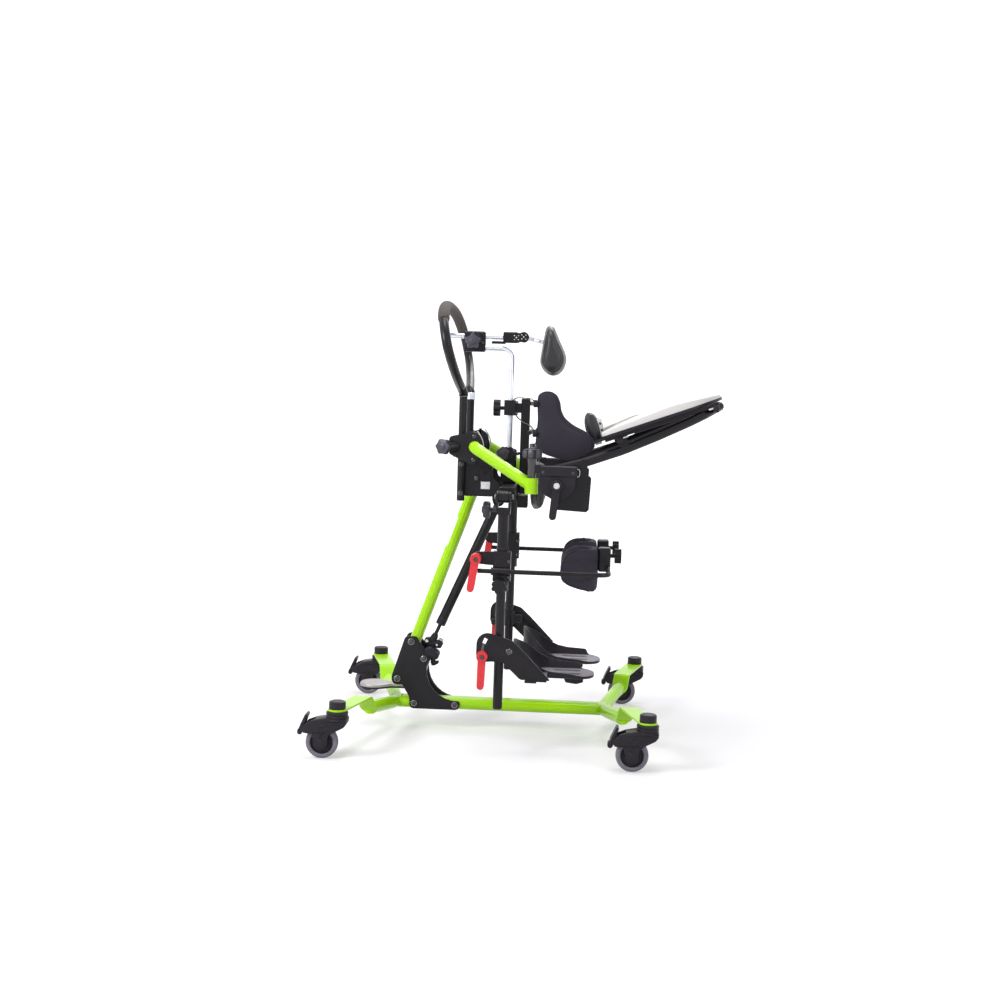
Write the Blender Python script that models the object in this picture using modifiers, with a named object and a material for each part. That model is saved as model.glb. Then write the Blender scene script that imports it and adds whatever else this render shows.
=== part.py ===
"""A child's standing frame: a wheeled base with a leaning mast, a back frame that tilts on it with a
gas spring, a tray on two arms, a head support, trunk and hip pads, and two legs with knee pads and
foot plates. Metres, +Z up. The user faces +X, and the near side is -Y. The origin is on the floor
below the middle of the whole frame."""

import math

import bmesh
import bpy
from mathutils import Matrix, Vector

MM = 0.001
SIDES = (("near", -1), ("far", 1))

# Fits
GAP = 0.3 * MM
RUNNING_FIT = 0.6 * MM

# Base
STEM_Y = 360 * MM
REAR_STEM_X = -385 * MM
FRONT_STEM_X = 324 * MM
REAR_TUBE_X = -295 * MM
FRONT_TUBE_X = 207 * MM
BASE_TUBE_Z = 63 * MM
CROSS_TUBE_D = 31.75 * MM
FLAT_TUBE_DEPTH = 28.6 * MM
FLAT_TUBE_WIDTH = 52 * MM
CROSS_TUBE_RISE = 24 * MM
STRAP_WIDTH = 42 * MM
STRAP_THICKNESS = 6.3 * MM
STRAP_FOOT_Y = 190 * MM
STRAP_FOLD_Y = 238 * MM
STRAP_FOOT_Z = 62 * MM
STRAP_FOLD_Z = 115 * MM
RING_D = 43 * MM
RING_HEIGHT = 7.5 * MM
RING_Z = 107.5 * MM

# Casters
WHEEL_D = 75 * MM
WHEEL_WIDTH = 22 * MM
WHEEL_HUB_D = 52 * MM
WHEEL_SIDES = 18
CASTER_TRAIL = 33.6 * MM
AXLE_D = 8 * MM
SHANK_D = 24 * MM
CAP_D = 38 * MM
CAP_HEIGHT = 18 * MM
FORK_WIDTH = 44 * MM
STRUT_WIDTH = 36 * MM
FORK_SLOT_WIDTH = 25 * MM
SWIVEL_D = 50 * MM
BRAKE_WIDTH = 38 * MM

# Mast, side plates and foot pedal
TILT_X = -102 * MM
TILT_Z = 639 * MM
MAST_LEAN = math.radians(19.3)
MAST_FOOT_Z = 112 * MM
MAST_BARREL_D = 44 * MM
MAST_BARREL_LENGTH = 60 * MM
TILT_SHAFT_D = 18 * MM
PLATE_THICKNESS = 4.5 * MM
HUB_X = -224 * MM
HUB_Z = 177 * MM
PEDAL_REACH = 160 * MM
PEDAL_WIDTH = 84 * MM

# Gas spring
SPRING_EYE_SETBACK = 9.254928 * MM
SPRING_EYE_DROP = 11.187965 * MM
SPRING_TUBE_D = 24 * MM
SPRING_ROD_D = 10 * MM
SPRING_TUBE_START = 92 * MM
EYE_D = 30 * MM
EYE_BORE_D = 17 * MM
SPRING_PIN_D = 9 * MM

# Back frame and hip beam
BACK_TUBE_X = -136 * MM
BACK_TUBE_Y = 120 * MM
BACK_TUBE_D = 19 * MM
BACK_FOOT_Z = 587 * MM
BACK_TOP_Z = 838 * MM
HOUSING_THICKNESS = 5 * MM
HOUSING_BOTTOM_Z = 597 * MM
HOUSING_TOP_Z = 683 * MM
HIP_BEAM_REAR_X = -40 * MM
HIP_BEAM_FRONT_X = 0 * MM
HIP_BEAM_BOTTOM_Z = 592 * MM
HIP_BEAM_TOP_Z = 626 * MM
LEG_Y = 250 * MM
LEG_X = -24 * MM
LEG_PIVOT_Z = 607 * MM

# Push handle
HANDLE_D = 22.2 * MM
GRIP_D = 29.5 * MM
HANDLE_HALF_WIDTH = 315 * MM
HANDLE_HALF_HEIGHT = 113 * MM
HANDLE_CENTRE_Z = 957 * MM
HANDLE_LEAN = 0.225
HANDLE_STEPS = 18
GRIP_STEP = 6

# Tray arms
ARM_HUB_X = -102 * MM
ARM_HUB_Y = 150 * MM
ARM_HUB_Z = 718 * MM
ARM_D = 28 * MM
ARM_ELBOW_Y = 186 * MM
SOCKET_X = 39 * MM
SOCKET_D = 31 * MM
SOCKET_BOTTOM_Z = 616 * MM
SOCKET_TOP_Z = 653 * MM
TRAY_POST_D = 20 * MM
TRAY_POST_TOP_Z = 700 * MM
ARM_DISC_D = 84 * MM

# Tray
TRAY_PIVOT_X = 98 * MM
TRAY_PIVOT_Z = 638 * MM
TRAY_TUBE_D = 22 * MM
TRAY_TUBE_Y = 223 * MM
TRAY_REAR_X = 199 * MM
TRAY_REAR_Z = 754 * MM
TRAY_LENGTH = 291 * MM
TRAY_HALF_WIDTH = 250 * MM
TRAY_THICKNESS = 7 * MM
TRAY_SLOPE = math.radians(20)
TRAY_CORNER = 85 * MM
TRAY_CUTOUT = 130 * MM
RAIL_THICKNESS = 8 * MM
RAIL_WIDTH = 24 * MM

# Head support
HEAD_TUBE_D = 12.7 * MM
HEAD_POST_X = -27 * MM
HEAD_POST_FOOT_Z = 640 * MM
HEAD_POST_TOP_Z = 961 * MM
HEAD_BEND = 26 * MM
HEAD_BAR_LIFT = 28 * MM
HEAD_BAR_Z = HEAD_POST_TOP_Z + HEAD_BAR_LIFT
HEAD_CLAMP_REAR_X = -147 * MM
HEAD_CLAMP_FRONT_X = -94 * MM
HEAD_CLAMP_WIDTH = 36 * MM
HEAD_PIVOT_X = 1 * MM
HEAD_PIVOT_Z = HEAD_BAR_Z + 1 * MM
HEAD_PAD_WIDTH = 150 * MM

# Trunk and hip pads
TRUNK_BAR = 22 * MM
TRUNK_BAR_TOP_Z = 838 * MM
TRUNK_BAR_FOOT_Z = 600 * MM
SIDE_PAD_Y = 140 * MM
SIDE_PAD_THICKNESS = 34 * MM
HIP_PAD_WIDTH = 200 * MM
HIP_PAD_BOTTOM_Z = 560 * MM
HIP_PAD_TOP_Z = 686 * MM
HIP_PAD_X = 30 * MM
HIP_PAD_THICKNESS = 32 * MM

# Legs, knees and feet
UPPER_LEG_D = 25.4 * MM
LOWER_LEG_D = 22.2 * MM
UPPER_LEG_FOOT_Z = 388 * MM
UPPER_LEG_TOP_Z = 578 * MM
LOWER_LEG_FOOT_Z = 108 * MM
LOWER_LEG_TOP_Z = 500 * MM
KNEE_ROD_D = 11 * MM
KNEE_ROD_Y = 271 * MM
KNEE_ROD_Z = 434 * MM
KNEE_ROD_REAR_X = -79 * MM
KNEE_ROD_FRONT_X = 226 * MM
KNEE_PAD_Y = 100 * MM
KNEE_PAD_BACK_X = 203 * MM
KNEE_PAD_FRONT_X = 114 * MM
KNEE_PAD_WIDTH = 112 * MM
KNEE_PAD_BOTTOM_Z = 377 * MM
KNEE_PAD_TOP_Z = 498 * MM
KNEE_PAD_THICKNESS = 15 * MM
KNEE_LEVER_X = -84 * MM
KNEE_LEVER_Z = 462 * MM
FOOT_PIVOT_X = 0 * MM
FOOT_PIVOT_Z = 246 * MM
FOOT_PLATE_Y = 274 * MM
FOOT_LEVER_X = -62 * MM
FOOT_LEVER_Z = 235 * MM
FOOT_Y = 100 * MM
FOOT_LENGTH = 200 * MM
FOOT_WIDTH = 108 * MM
FOOT_SOLE_Z = 170 * MM
FOOT_SOLE_THICKNESS = 5 * MM
FOOT_WALL = 3 * MM
HEEL_X = {"near": 3 * MM, "far": 21 * MM}

LOOKS = {
    "lime": ((0.34, 0.72, 0.0, 1), 0.3, 0.0),
    "black": ((0.022, 0.02, 0.026, 1), 0.42, 0.0),
    "plastic": ((0.045, 0.043, 0.056, 1), 0.5, 0.0),
    "foam": ((0.1, 0.088, 0.084, 1), 0.85, 0.0),
    "cloth": ((0.035, 0.028, 0.045, 1), 0.9, 0.0),
    "vinyl": ((0.05, 0.045, 0.055, 1), 0.35, 0.0),
    "red": ((0.8, 0.06, 0.07, 1), 0.4, 0.0),
    "tyre": ((0.2, 0.19, 0.22, 1), 0.7, 0.0),
    "metal": ((0.8, 0.82, 0.86, 1), 0.25, 1.0),
    "tray": ((0.72, 0.7, 0.68, 1), 0.35, 0.0),
    "pedal": ((0.56, 0.54, 0.54, 1), 0.35, 1.0),
}


def new_collection(name, hidden):
    group = bpy.data.collections.new(name)
    bpy.context.scene.collection.children.link(group)
    group.hide_render = hidden
    return group


def add(name, data):
    """A new object in the frame's collection."""
    obj = bpy.data.objects.new(name, data)
    PARTS.objects.link(obj)
    return obj


def look(obj, kind):
    """Gives the object its own material, and smooth shading that keeps the sharp edges."""
    colour, roughness, metallic = LOOKS[kind]
    stuff = bpy.data.materials.new(obj.name)
    stuff.use_nodes = True
    shader = stuff.node_tree.nodes["Principled BSDF"]
    shader.inputs["Base Color"].default_value = colour
    shader.inputs["Roughness"].default_value = roughness
    shader.inputs["Metallic"].default_value = metallic
    stuff.diffuse_color = colour
    obj.data.materials.clear()
    obj.data.materials.append(stuff)
    obj.data.shade_smooth()
    obj.data.set_sharp_from_angle(angle=math.radians(40))
    return obj


def spot(x, y, z):
    return Vector((x, y, z))


def mm(x, y, z):
    return Vector((x * MM, y * MM, z * MM))


def at(axis):
    """The world place of an empty under its parents."""
    return axis.location + (at(axis.parent) if axis.parent else Vector())


def empty(name, place, parent=None):
    """An empty on a joint's axis, which the moving pieces hang from."""
    axis = add(name, None)
    axis.parent = parent
    axis.location = place - (at(parent) if parent else Vector())
    axis.empty_display_size = 30 * MM
    return axis


def hang(axis, *pieces):
    """Moves each piece's origin to the axis and makes it the axis's child."""
    for piece in pieces:
        piece.data.transform(Matrix.Translation(-at(axis)))
        piece.parent = axis
    return axis


def from_bmesh(name, bm):
    mesh = bpy.data.meshes.new(name)
    bm.normal_update()
    bmesh.ops.recalc_face_normals(bm, faces=bm.faces)
    if bm.calc_volume(signed=True) < 0:
        bmesh.ops.reverse_faces(bm, faces=bm.faces)
    bm.to_mesh(mesh)
    bm.free()
    return add(name, mesh)


def solid(obj):
    """Turns a curve, or a mesh with modifiers, into one plain welded mesh in world space."""
    graph = bpy.context.evaluated_depsgraph_get()
    graph.update()
    mesh = bpy.data.meshes.new_from_object(obj.evaluated_get(graph))
    mesh.transform(obj.matrix_world)
    bm = bmesh.new()
    bm.from_mesh(mesh)
    bmesh.ops.remove_doubles(bm, verts=bm.verts, dist=0.002 * MM)
    bmesh.ops.dissolve_limit(bm, angle_limit=math.radians(0.03), verts=bm.verts, edges=bm.edges)
    name = obj.name
    bpy.data.objects.remove(obj)
    bpy.data.meshes.remove(mesh)
    return from_bmesh(name, bm)


def combine(operation, target, others):
    """One Boolean after another on the target, whose result replaces its mesh."""
    for other in others:
        step = target.modifiers.new(other.name, "BOOLEAN")
        step.operation = operation
        step.object = other
        target = solid(target)
        bpy.data.objects.remove(other)
    return target


def join(target, *others):
    return combine("UNION", target, others)


def cut(target, *others):
    return combine("DIFFERENCE", target, others)


def common(target, other):
    return combine("INTERSECT", target, [other])


def rod(start, end, diameter, sides=10, name="rod", tip=None):
    """A straight cylinder between two places, or a cone if a tip diameter is given."""
    bm = bmesh.new()
    bmesh.ops.create_cone(
        bm,
        cap_ends=True,
        segments=sides,
        radius1=diameter / 2,
        radius2=(diameter if tip is None else tip) / 2,
        depth=(end - start).length,
    )
    turn = (end - start).to_track_quat("Z", "Y").to_matrix().to_4x4()
    bm.transform(Matrix.Translation((start + end) / 2) @ turn)
    return from_bmesh(name, bm)


def block(low, high, name="block", bevel=0):
    """A box between two corners, with its edges chamfered by the bevel."""
    bm = bmesh.new()
    bmesh.ops.create_cube(bm, size=1)
    size = high - low
    bm.transform(Matrix.Translation((low + high) / 2) @ Matrix.Diagonal((*size, 1)))
    if bevel:
        bmesh.ops.bevel(bm, geom=bm.edges[:], offset=bevel, segments=1, affect="EDGES")
    return from_bmesh(name, bm)


def rounded(points, radii, steps=2):
    """A path whose inner corners are arcs."""
    path = [points[0]]
    for before, corner, after, radius in zip(points, points[1:], points[2:], radii):
        path += arc(before, corner, after, radius, steps)
    path.append(points[-1])
    return path


def arc(before, corner, after, radius, steps):
    """The points of an arc that rounds the corner between two straight runs."""
    back = (before - corner).normalized()
    ahead = (after - corner).normalized()
    half = back.angle(ahead) / 2
    if radius <= 0 or half > math.radians(89.5):
        return [corner]
    reach = radius / math.tan(half)
    centre = corner + (back + ahead).normalized() * (radius / math.sin(half))
    start = corner + back * reach - centre
    end = corner + ahead * reach - centre
    return [centre + start.slerp(end, step / steps) * radius for step in range(steps + 1)]


def tube(path, diameter, sides=12, name="tube"):
    """A round bar along a path, with flat ends."""
    curve = bpy.data.curves.new(name, "CURVE")
    curve.dimensions = "3D"
    curve.bevel_depth = diameter / 2
    curve.bevel_resolution = (sides - 4) // 2
    curve.use_fill_caps = True
    spline = curve.splines.new("POLY")
    spline.points.add(len(path) - 1)
    for point, place in zip(spline.points, path):
        point.co = (*place, 1)
    return solid(add(name, curve))


def outline(corners, steps=1):
    """A closed outline from (x, z, radius) corners in millimetres."""
    points = [Vector((x * MM, z * MM)) for x, z, _ in corners]
    shape = []
    for index, (_, _, radius) in enumerate(corners):
        before = points[index - 1]
        after = points[(index + 1) % len(points)]
        shape += arc(before, points[index], after, radius * MM, steps)
    return shape


def disc_outline(x, z, diameter, steps=12):
    angles = [2 * math.pi * step / steps for step in range(steps)]
    return [Vector((x + math.cos(a) * diameter / 2, z + math.sin(a) * diameter / 2)) for a in angles]


def plate(shapes, low, high, frame=None, name="plate"):
    """A flat piece from closed outlines, the first its edge and the others its holes. It stands in
    the XZ plane between two values of Y, or in the plane that the frame matrix gives."""
    curve = bpy.data.curves.new(name, "CURVE")
    curve.dimensions = "2D"
    curve.fill_mode = "BOTH"
    curve.extrude = abs(high - low) / 2
    for shape in shapes:
        spline = curve.splines.new("POLY")
        spline.use_cyclic_u = True
        spline.points.add(len(shape) - 1)
        for point, place in zip(spline.points, shape):
            point.co = (place.x, place.y, 0, 1)
    obj = add(name, curve)
    middle = Matrix.Translation((0, 0, -(low + high) / 2))
    obj.matrix_world = (frame or Matrix.Rotation(math.pi / 2, 4, "X")) @ middle
    bpy.context.view_layer.update()
    return solid(obj)


def turned(profile, place, axis, sides=16, name="turned"):
    """A turned piece from (radius, height) points, top to bottom, about an axis."""
    mesh = bpy.data.meshes.new(name)
    edges = [(index, index + 1) for index in range(len(profile) - 1)]
    mesh.from_pydata([(radius, 0, height) for radius, height in profile], edges, [])
    obj = add(name, mesh)
    screw = obj.modifiers.new("Screw", "SCREW")
    screw.steps = sides
    screw.render_steps = sides
    screw.use_merge_vertices = True
    screw.merge_threshold = 0.01 * MM
    obj.matrix_world = Matrix.Translation(place) @ axis.to_track_quat("Z", "Y").to_matrix().to_4x4()
    bpy.context.view_layer.update()
    return solid(obj)


def knob(place, axis, diameter, thickness, lobes=6, stem_d=10 * MM, stem=12 * MM):
    """A lobed hand knob whose stem runs back along the axis from its rear face."""
    turns = lobes * 3
    shape = []
    for step in range(turns):
        angle = 2 * math.pi * (step + 0.5) / turns
        radius = diameter / 2 * (0.8 if step % 3 == 1 else 1)
        shape.append(Vector((math.cos(angle) * radius, math.sin(angle) * radius)))
    turn = axis.to_track_quat("Z", "Y").to_matrix().to_4x4()
    frame = Matrix.Translation(place) @ turn
    head = plate([shape], -thickness, 0, frame, "knob")
    return join(head, rod(place - axis * stem, place + axis * (thickness / 2), stem_d, 8))


def lever(hub, end, inner, outer, hub_d, end_d, grip_y, sign):
    """A clamp lever: a hub along Y, and a flat handle from it, thicker at its outer side."""
    x0, z0 = hub
    x1, z1 = end
    along = Vector((x1 - x0, z1 - z0)).normalized()
    across = Vector((-along.y, along.x))
    start = Vector((x0, z0))
    stop = Vector((x1, z1)) - along * end_d / 2
    shape = [start + across * hub_d * 0.36, stop + across * end_d / 2]
    shape += [
        stop + (along * math.sin(a) + across * math.cos(a)) * end_d / 2
        for a in (math.pi * step / 6 for step in range(1, 6))
    ]
    shape += [stop - across * end_d / 2, start - across * hub_d * 0.36]
    low, high = sorted((sign * grip_y, sign * outer))
    grip = plate([shape], low, high)
    return join(grip, rod(spot(x0, sign * inner, z0), spot(x0, sign * (outer + 2 * MM), z0), hub_d, 14))


def base_frame():
    """The spine, two bent cross tubes, and a folded strap with a ring at each caster."""
    half_w = FLAT_TUBE_WIDTH / 2
    half_d = FLAT_TUBE_DEPTH / 2
    oval = [
        Vector((side * (half_w - half_d + half_d * math.cos(a)), half_d * math.sin(a) * side))
        for side in (1, -1)
        for a in (math.pi * (step / 6 - 0.5) for step in range(7))
    ]
    frame = Matrix.Rotation(math.pi / 2, 4, "Z") @ Matrix.Rotation(math.pi / 2, 4, "X")
    frame = Matrix.Translation((0, 0, BASE_TUBE_Z)) @ frame
    spine = plate([oval], -FRONT_TUBE_X, -REAR_TUBE_X, frame, "base_frame")
    pieces = []
    for tube_x, stem_x in ((REAR_TUBE_X, REAR_STEM_X), (FRONT_TUBE_X, FRONT_STEM_X)):
        run = (stem_x - tube_x) / STEM_Y
        pieces.append(cross_tube(tube_x, run))
        for _, sign in SIDES:
            pieces.append(strap_and_ring(tube_x, run, sign, spot(stem_x, sign * STEM_Y, RING_Z)))
    return look(join(spine, *pieces), "lime")


def strap_and_ring(tube_x, run, sign, foot):
    """A strap with the bored ring that the caster's shank turns in."""
    up = Vector((0, 0, RING_HEIGHT))
    ring = rod(foot, foot + up, RING_D, 20, "ring")
    band = join(strap(tube_x, run, sign), ring)
    return cut(band, rod(foot - up, foot + up * 2, SHANK_D + 2 * RUNNING_FIT, 16))


def cross_tube(tube_x, run):
    """A cross tube, bent in the middle, whose ends are cut to the slant of their straps."""
    length = STRAP_FOOT_Y + CROSS_TUBE_D
    rise = BASE_TUBE_Z + CROSS_TUBE_RISE
    ends = [spot(tube_x + run * length, sign * length, rise) for _, sign in SIDES]
    whole = tube([ends[0], spot(tube_x, 0, BASE_TUBE_Z), ends[1]], CROSS_TUBE_D, 14, "cross_tube")
    slope = (STRAP_FOLD_Z - STRAP_FOOT_Z) / (STRAP_FOLD_Y - STRAP_FOOT_Y)
    bm = bmesh.new()
    bm.from_mesh(whole.data)
    for _, sign in SIDES:
        foot = spot(tube_x + run * STRAP_FOOT_Y, sign * STRAP_FOOT_Y, STRAP_FOOT_Z)
        normal = Vector((run * slope, sign * slope, -1)).normalized()
        geometry = bm.verts[:] + bm.edges[:] + bm.faces[:]
        cutting = bmesh.ops.bisect_plane(
            bm, geom=geometry, plane_co=foot, plane_no=normal, clear_outer=True
        )
        rim = [edge for edge in cutting["geom_cut"] if isinstance(edge, bmesh.types.BMEdge)]
        bmesh.ops.contextual_create(bm, geom=rim)
    bpy.data.objects.remove(whole)
    return from_bmesh("cross_tube", bm)


def strap(tube_x, run, sign):
    """The folded strap from the cut end of a cross tube up and over to its ring."""
    scale = math.hypot(1, run)
    half = STRAP_THICKNESS / 2
    rise = STRAP_FOLD_Z - STRAP_FOOT_Z
    reach = (STRAP_FOLD_Y - STRAP_FOOT_Y) * scale
    lean = math.atan2(rise, reach)
    fold = Vector((STRAP_FOLD_Y * scale, STRAP_FOLD_Z - half))
    foot = Vector((STRAP_FOOT_Y * scale, STRAP_FOOT_Z)) - Vector((math.cos(lean), math.sin(lean))) * half
    tip = Vector(((STEM_Y - RING_D * 0.35) * scale, RING_Z + RING_HEIGHT / 2))
    across = Vector((-math.sin(lean), math.cos(lean))) * half
    down = (tip - fold).normalized()
    over = Vector((-down.y, down.x)) * half
    top = [foot + across, fold + Vector((-1.2 * half, 1.1 * half)), fold + Vector((1.6 * half, 1.1 * half))]
    low = [tip - over, fold - Vector((-0.2 * half, 1.6 * half)), foot - across]
    shape = [*top, tip + over, *low]
    along = Vector((run, sign, 0)).normalized()
    frame = Matrix((along, (0, 0, 1), along.cross((0, 0, 1)))).transposed().to_4x4()
    frame = Matrix.Translation((tube_x, 0, 0)) @ frame
    return plate([shape], -STRAP_WIDTH / 2, STRAP_WIDTH / 2, frame, "strap")


def caster(name, stem_x, stem_y):
    """A swivel caster that trails to -X: fork with its capped shank, wheel and brake pedal."""
    stem = spot(stem_x, stem_y, 0)
    axle = spot(stem_x - CASTER_TRAIL, stem_y, WHEEL_D / 2)
    hood = outline(
        [
            (24, 89, 1), (22, 76, 4), (-2, 62, 5), (-20, 52, 8), (-48, 55, 5), (-62, 61, 4),
            (-79, 66, 4), (-80.5, 77, 3), (-73, 88, 5), (-52, 91, 8), (-36, 95, 8), (-24, 99, 2), (0, 101, 0),
        ],
    )
    arm = outline([(2, 66, 4), (-20, 24, 13), (-48, 24, 13), (-54, 62, 6), (-30, 80, 0)], 2)
    half = FORK_WIDTH / 2
    here = Matrix.Translation(stem) @ Matrix.Rotation(math.pi / 2, 4, "X")
    body = plate([hood], -half, half, here, name + "_fork")
    cheeks = plate([arm], -STRUT_WIDTH / 2, STRUT_WIDTH / 2, here)
    slot_d = WHEEL_D + 5 * MM
    across = Vector((0, FORK_SLOT_WIDTH / 2, 0))
    slot = rod(axle - across, axle + across, slot_d, 18)
    swivel = turned(caster_head_profile(), stem, Vector((0, 0, 1)), 12)
    out = Vector((0, STRUT_WIDTH / 2 + 2 * MM, 0))
    pin = rod(axle - out, axle + out, AXLE_D, 8)
    caps = [
        rod(axle + out * side * 0.85, axle + out * side * 1.08, 17 * MM, 10) for side in (1, -1)
    ]
    body = join(cut(join(body, cheeks), slot), swivel, pin, *caps)
    swivel_axis = empty(name + "_swivel", stem)
    hang(swivel_axis, look(body, "plastic"))
    axle_axis = empty(name + "_axle", axle, swivel_axis)
    hang(axle_axis, look(wheel(name, axle), "tyre"))
    brake_axis = empty(name + "_brake_axis", stem + mm(-71, 0, 97), swivel_axis)
    pedal = outline(
        [
            (-66, 104.5, 1.5), (-73, 105.5, 1.5), (-82, 87, 4), (-92, 81, 4), (-94, 58, 3),
            (-87, 52, 3), (-83, 60, 2), (-83.5, 78, 4), (-75, 89.5, 3), (-69, 97, 3),
        ],
    )
    pedal = plate([pedal], -BRAKE_WIDTH / 2, BRAKE_WIDTH / 2, here, name + "_brake")
    hang(brake_axis, look(pedal, "plastic"))


def caster_head_profile():
    """Cap, shank through the base's ring, and the stacked collars on the fork."""
    ring_top = RING_Z + RING_HEIGHT
    cap = CAP_D / 2
    shank = SHANK_D / 2
    collar = SWIVEL_D / 2
    top = ring_top + GAP + CAP_HEIGHT
    points = [(0, top - 1.2 * MM), (cap - 4 * MM, top - 1.2 * MM), (cap - 2.5 * MM, top)]
    points += [(cap, top - 1.5 * MM), (cap, ring_top + GAP)]
    points += [(shank, ring_top + GAP), (shank, RING_Z - GAP)]
    height = (RING_Z - GAP - 88 * MM) / 3
    for layer in range(3):
        z = RING_Z - GAP - layer * height
        points += [(collar, z - 0.6 * MM), (collar, z - height + 1.8 * MM), (collar - 2 * MM, z - height + 0.6 * MM)]
    points += [(collar - 4 * MM, 84 * MM), (0, 84 * MM)]
    return points


def wheel(name, axle):
    """The tyre on its dished hub, with the bore for the axle. One flat of the tyre lies on the floor."""
    rim = WHEEL_D / 2 / math.cos(math.pi / WHEEL_SIDES)
    hub = WHEEL_HUB_D / 2
    half = WHEEL_WIDTH / 2
    bore = AXLE_D / 2 + RUNNING_FIT
    side = [(bore, half), (9 * MM, half), (11 * MM, half - 3 * MM), (hub - 1 * MM, half - 3 * MM)]
    side += [(hub, half - 1 * MM), (rim - 3 * MM, half - 2 * MM), (rim, half - 6 * MM)]
    back = [(radius, -height) for radius, height in reversed(side)]
    return turned([*side, *back, side[0]], axle, Vector((0, 1, 0)), WHEEL_SIDES, name + "_wheel")


def gusset(name, sign):
    """A side plate that carries the mast, the foot pedal and the spring on the spine."""
    shape = outline(
        [
            (-272, 233, 11), (-244, 233, 12), (-207, 178, 12), (-216, 157, 6), (-216, 77, 60),
            (-130.5, 77, 12), (-130.5, 49.5, 12), (-258, 49.5, 12), (-259, 76, 8), (-277, 110, 5),
            (-304, 110, 13), (-304, 131, 10),
        ],
        3,
    )
    inner = FLAT_TUBE_WIDTH / 2 + GAP
    low, high = sorted((sign * inner, sign * (inner + PLATE_THICKNESS)))
    hub = disc_outline(HUB_X, HUB_Z, AXLE_D + 2 * RUNNING_FIT)
    return look(plate([shape, hub], low, high, None, name), "black")


def mast():
    """The leaning flat-oval mast with the tilt barrel across its top."""
    lean = Vector((math.sin(MAST_LEAN), 0, math.cos(MAST_LEAN)))
    tilt = spot(TILT_X, 0, TILT_Z)
    length = (TILT_Z - MAST_FOOT_Z) / lean.z
    half_w = FLAT_TUBE_WIDTH / 2
    half_d = FLAT_TUBE_DEPTH / 2
    oval = [
        Vector((half_d * math.sin(a) * side, side * (half_w - half_d + half_d * math.cos(a))))
        for side in (1, -1)
        for a in (math.pi * (step / 6 - 0.5) for step in range(7))
    ]
    frame = Matrix.Translation(tilt) @ Matrix.Rotation(MAST_LEAN, 4, "Y")
    post = plate([oval], 0, length, frame, "mast")
    notch = block(mm(-30, -40, -190), mm(-9.5, 40, -112))
    notch.matrix_world = frame
    bpy.context.view_layer.update()
    post = cut(post, solid(notch))
    half = Vector((0, MAST_BARREL_LENGTH / 2, 0))
    post = join(post, rod(tilt - half, tilt + half, MAST_BARREL_D, 20))
    bore = rod(tilt - half * 2, tilt + half * 2, TILT_SHAFT_D + 2 * RUNNING_FIT, 16)
    return look(cut(post, bore), "lime")


def foot_pedal():
    """The foot pedal: a rounded pad on a bent arm, with a hub across the side plates."""
    hub = spot(HUB_X, 0, HUB_Z)
    side = outline(
        [
            (-384, 107, 1), (-334, 107, 8), (-269, 101, 3), (-233, 176, 3), (-216, 176, 3), (-258, 95, 5),
            (-334, 102.5, 8), (-384, 102.5, 1),
        ],
        2,
    )
    pad_end = HUB_X - PEDAL_REACH
    arm = plate([side], -PEDAL_WIDTH / 2, PEDAL_WIDTH / 2, None, "foot_pedal")
    half = PEDAL_WIDTH / 2
    neck = 13.5 * MM
    front = HUB_X + 20 * MM
    plan = [
        (pad_end, half - 20 * MM), (pad_end + 18 * MM, half), (pad_end + 40 * MM, half),
        (pad_end + 60 * MM, neck + 10 * MM), (pad_end + 78 * MM, neck), (front, neck),
    ]
    edge = [Vector((x, y)) for x, y in plan] + [Vector((x, -y)) for x, y in reversed(plan)]
    blank = plate([edge], 60 * MM, 240 * MM, Matrix.Identity(4))
    blank.matrix_world = Matrix.Translation((0, 0, 300 * MM))
    bpy.context.view_layer.update()
    arm = common(arm, solid(blank))
    reach = Vector((0, FLAT_TUBE_WIDTH / 2 - 1 * MM, 0))
    arm = join(arm, rod(hub - reach, hub + reach, 22 * MM, 16))
    arm = cut(arm, block(mm(-245, -10, 150), mm(-200, 10, 200)))
    axis = empty("foot_pedal_axis", hub)
    hang(axis, look(arm, "pedal"))


def gas_spring():
    """The spring's rod with its lower eye, and its cylinder with the upper eye."""
    low = spot(HUB_X, 0, HUB_Z)
    top = spring_top()
    along = (top - low).normalized()
    across = Vector((0, 9 * MM, 0))
    stem = rod(low, low + along * 62 * MM, 20 * MM, 16, "gas_spring_rod")
    head = rod(low - across, low + across, 26 * MM, 20)
    thin = rod(low + along * 40 * MM, low + along * 250 * MM, SPRING_ROD_D, 16)
    nut = rod(low + along * 60 * MM, low + along * 68 * MM, 16 * MM, 6)
    lever_at = low + along * 34 * MM
    arm = rod(lever_at, lever_at + Vector((24 * MM, 0, 8 * MM)), 7 * MM, 12)
    stem = join(stem, head, thin, nut, arm)
    start = low + along * SPRING_TUBE_START
    body = rod(start, top - along * 24 * MM, SPRING_TUBE_D, 16, "gas_spring_cylinder")
    half_eye = Vector((0, 7 * MM, 0))
    neck = rod(top - along * 30 * MM, top - along * 9 * MM, 13 * MM, 8)
    body = join(body, neck, rod(top - half_eye, top + half_eye, EYE_D, 20))
    bore = rod(start - along * 20 * MM, low + along * 330 * MM, SPRING_ROD_D + 2 * RUNNING_FIT, 16)
    eye = rod(top - half_eye * 2, top + half_eye * 2, EYE_BORE_D, 16)
    body = cut(body, bore, eye)
    swing = empty("gas_spring_swing", low)
    hang(swing, look(stem, "black"))
    stroke = empty("gas_spring_stroke", start, swing)
    hang(stroke, look(body, "black"))


def spring_top():
    """The middle of the spring's upper eye, below the rear edge of the hip beam."""
    return spot(HIP_BEAM_REAR_X - SPRING_EYE_SETBACK, 0, HIP_BEAM_BOTTOM_Z - SPRING_EYE_DROP)


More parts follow.
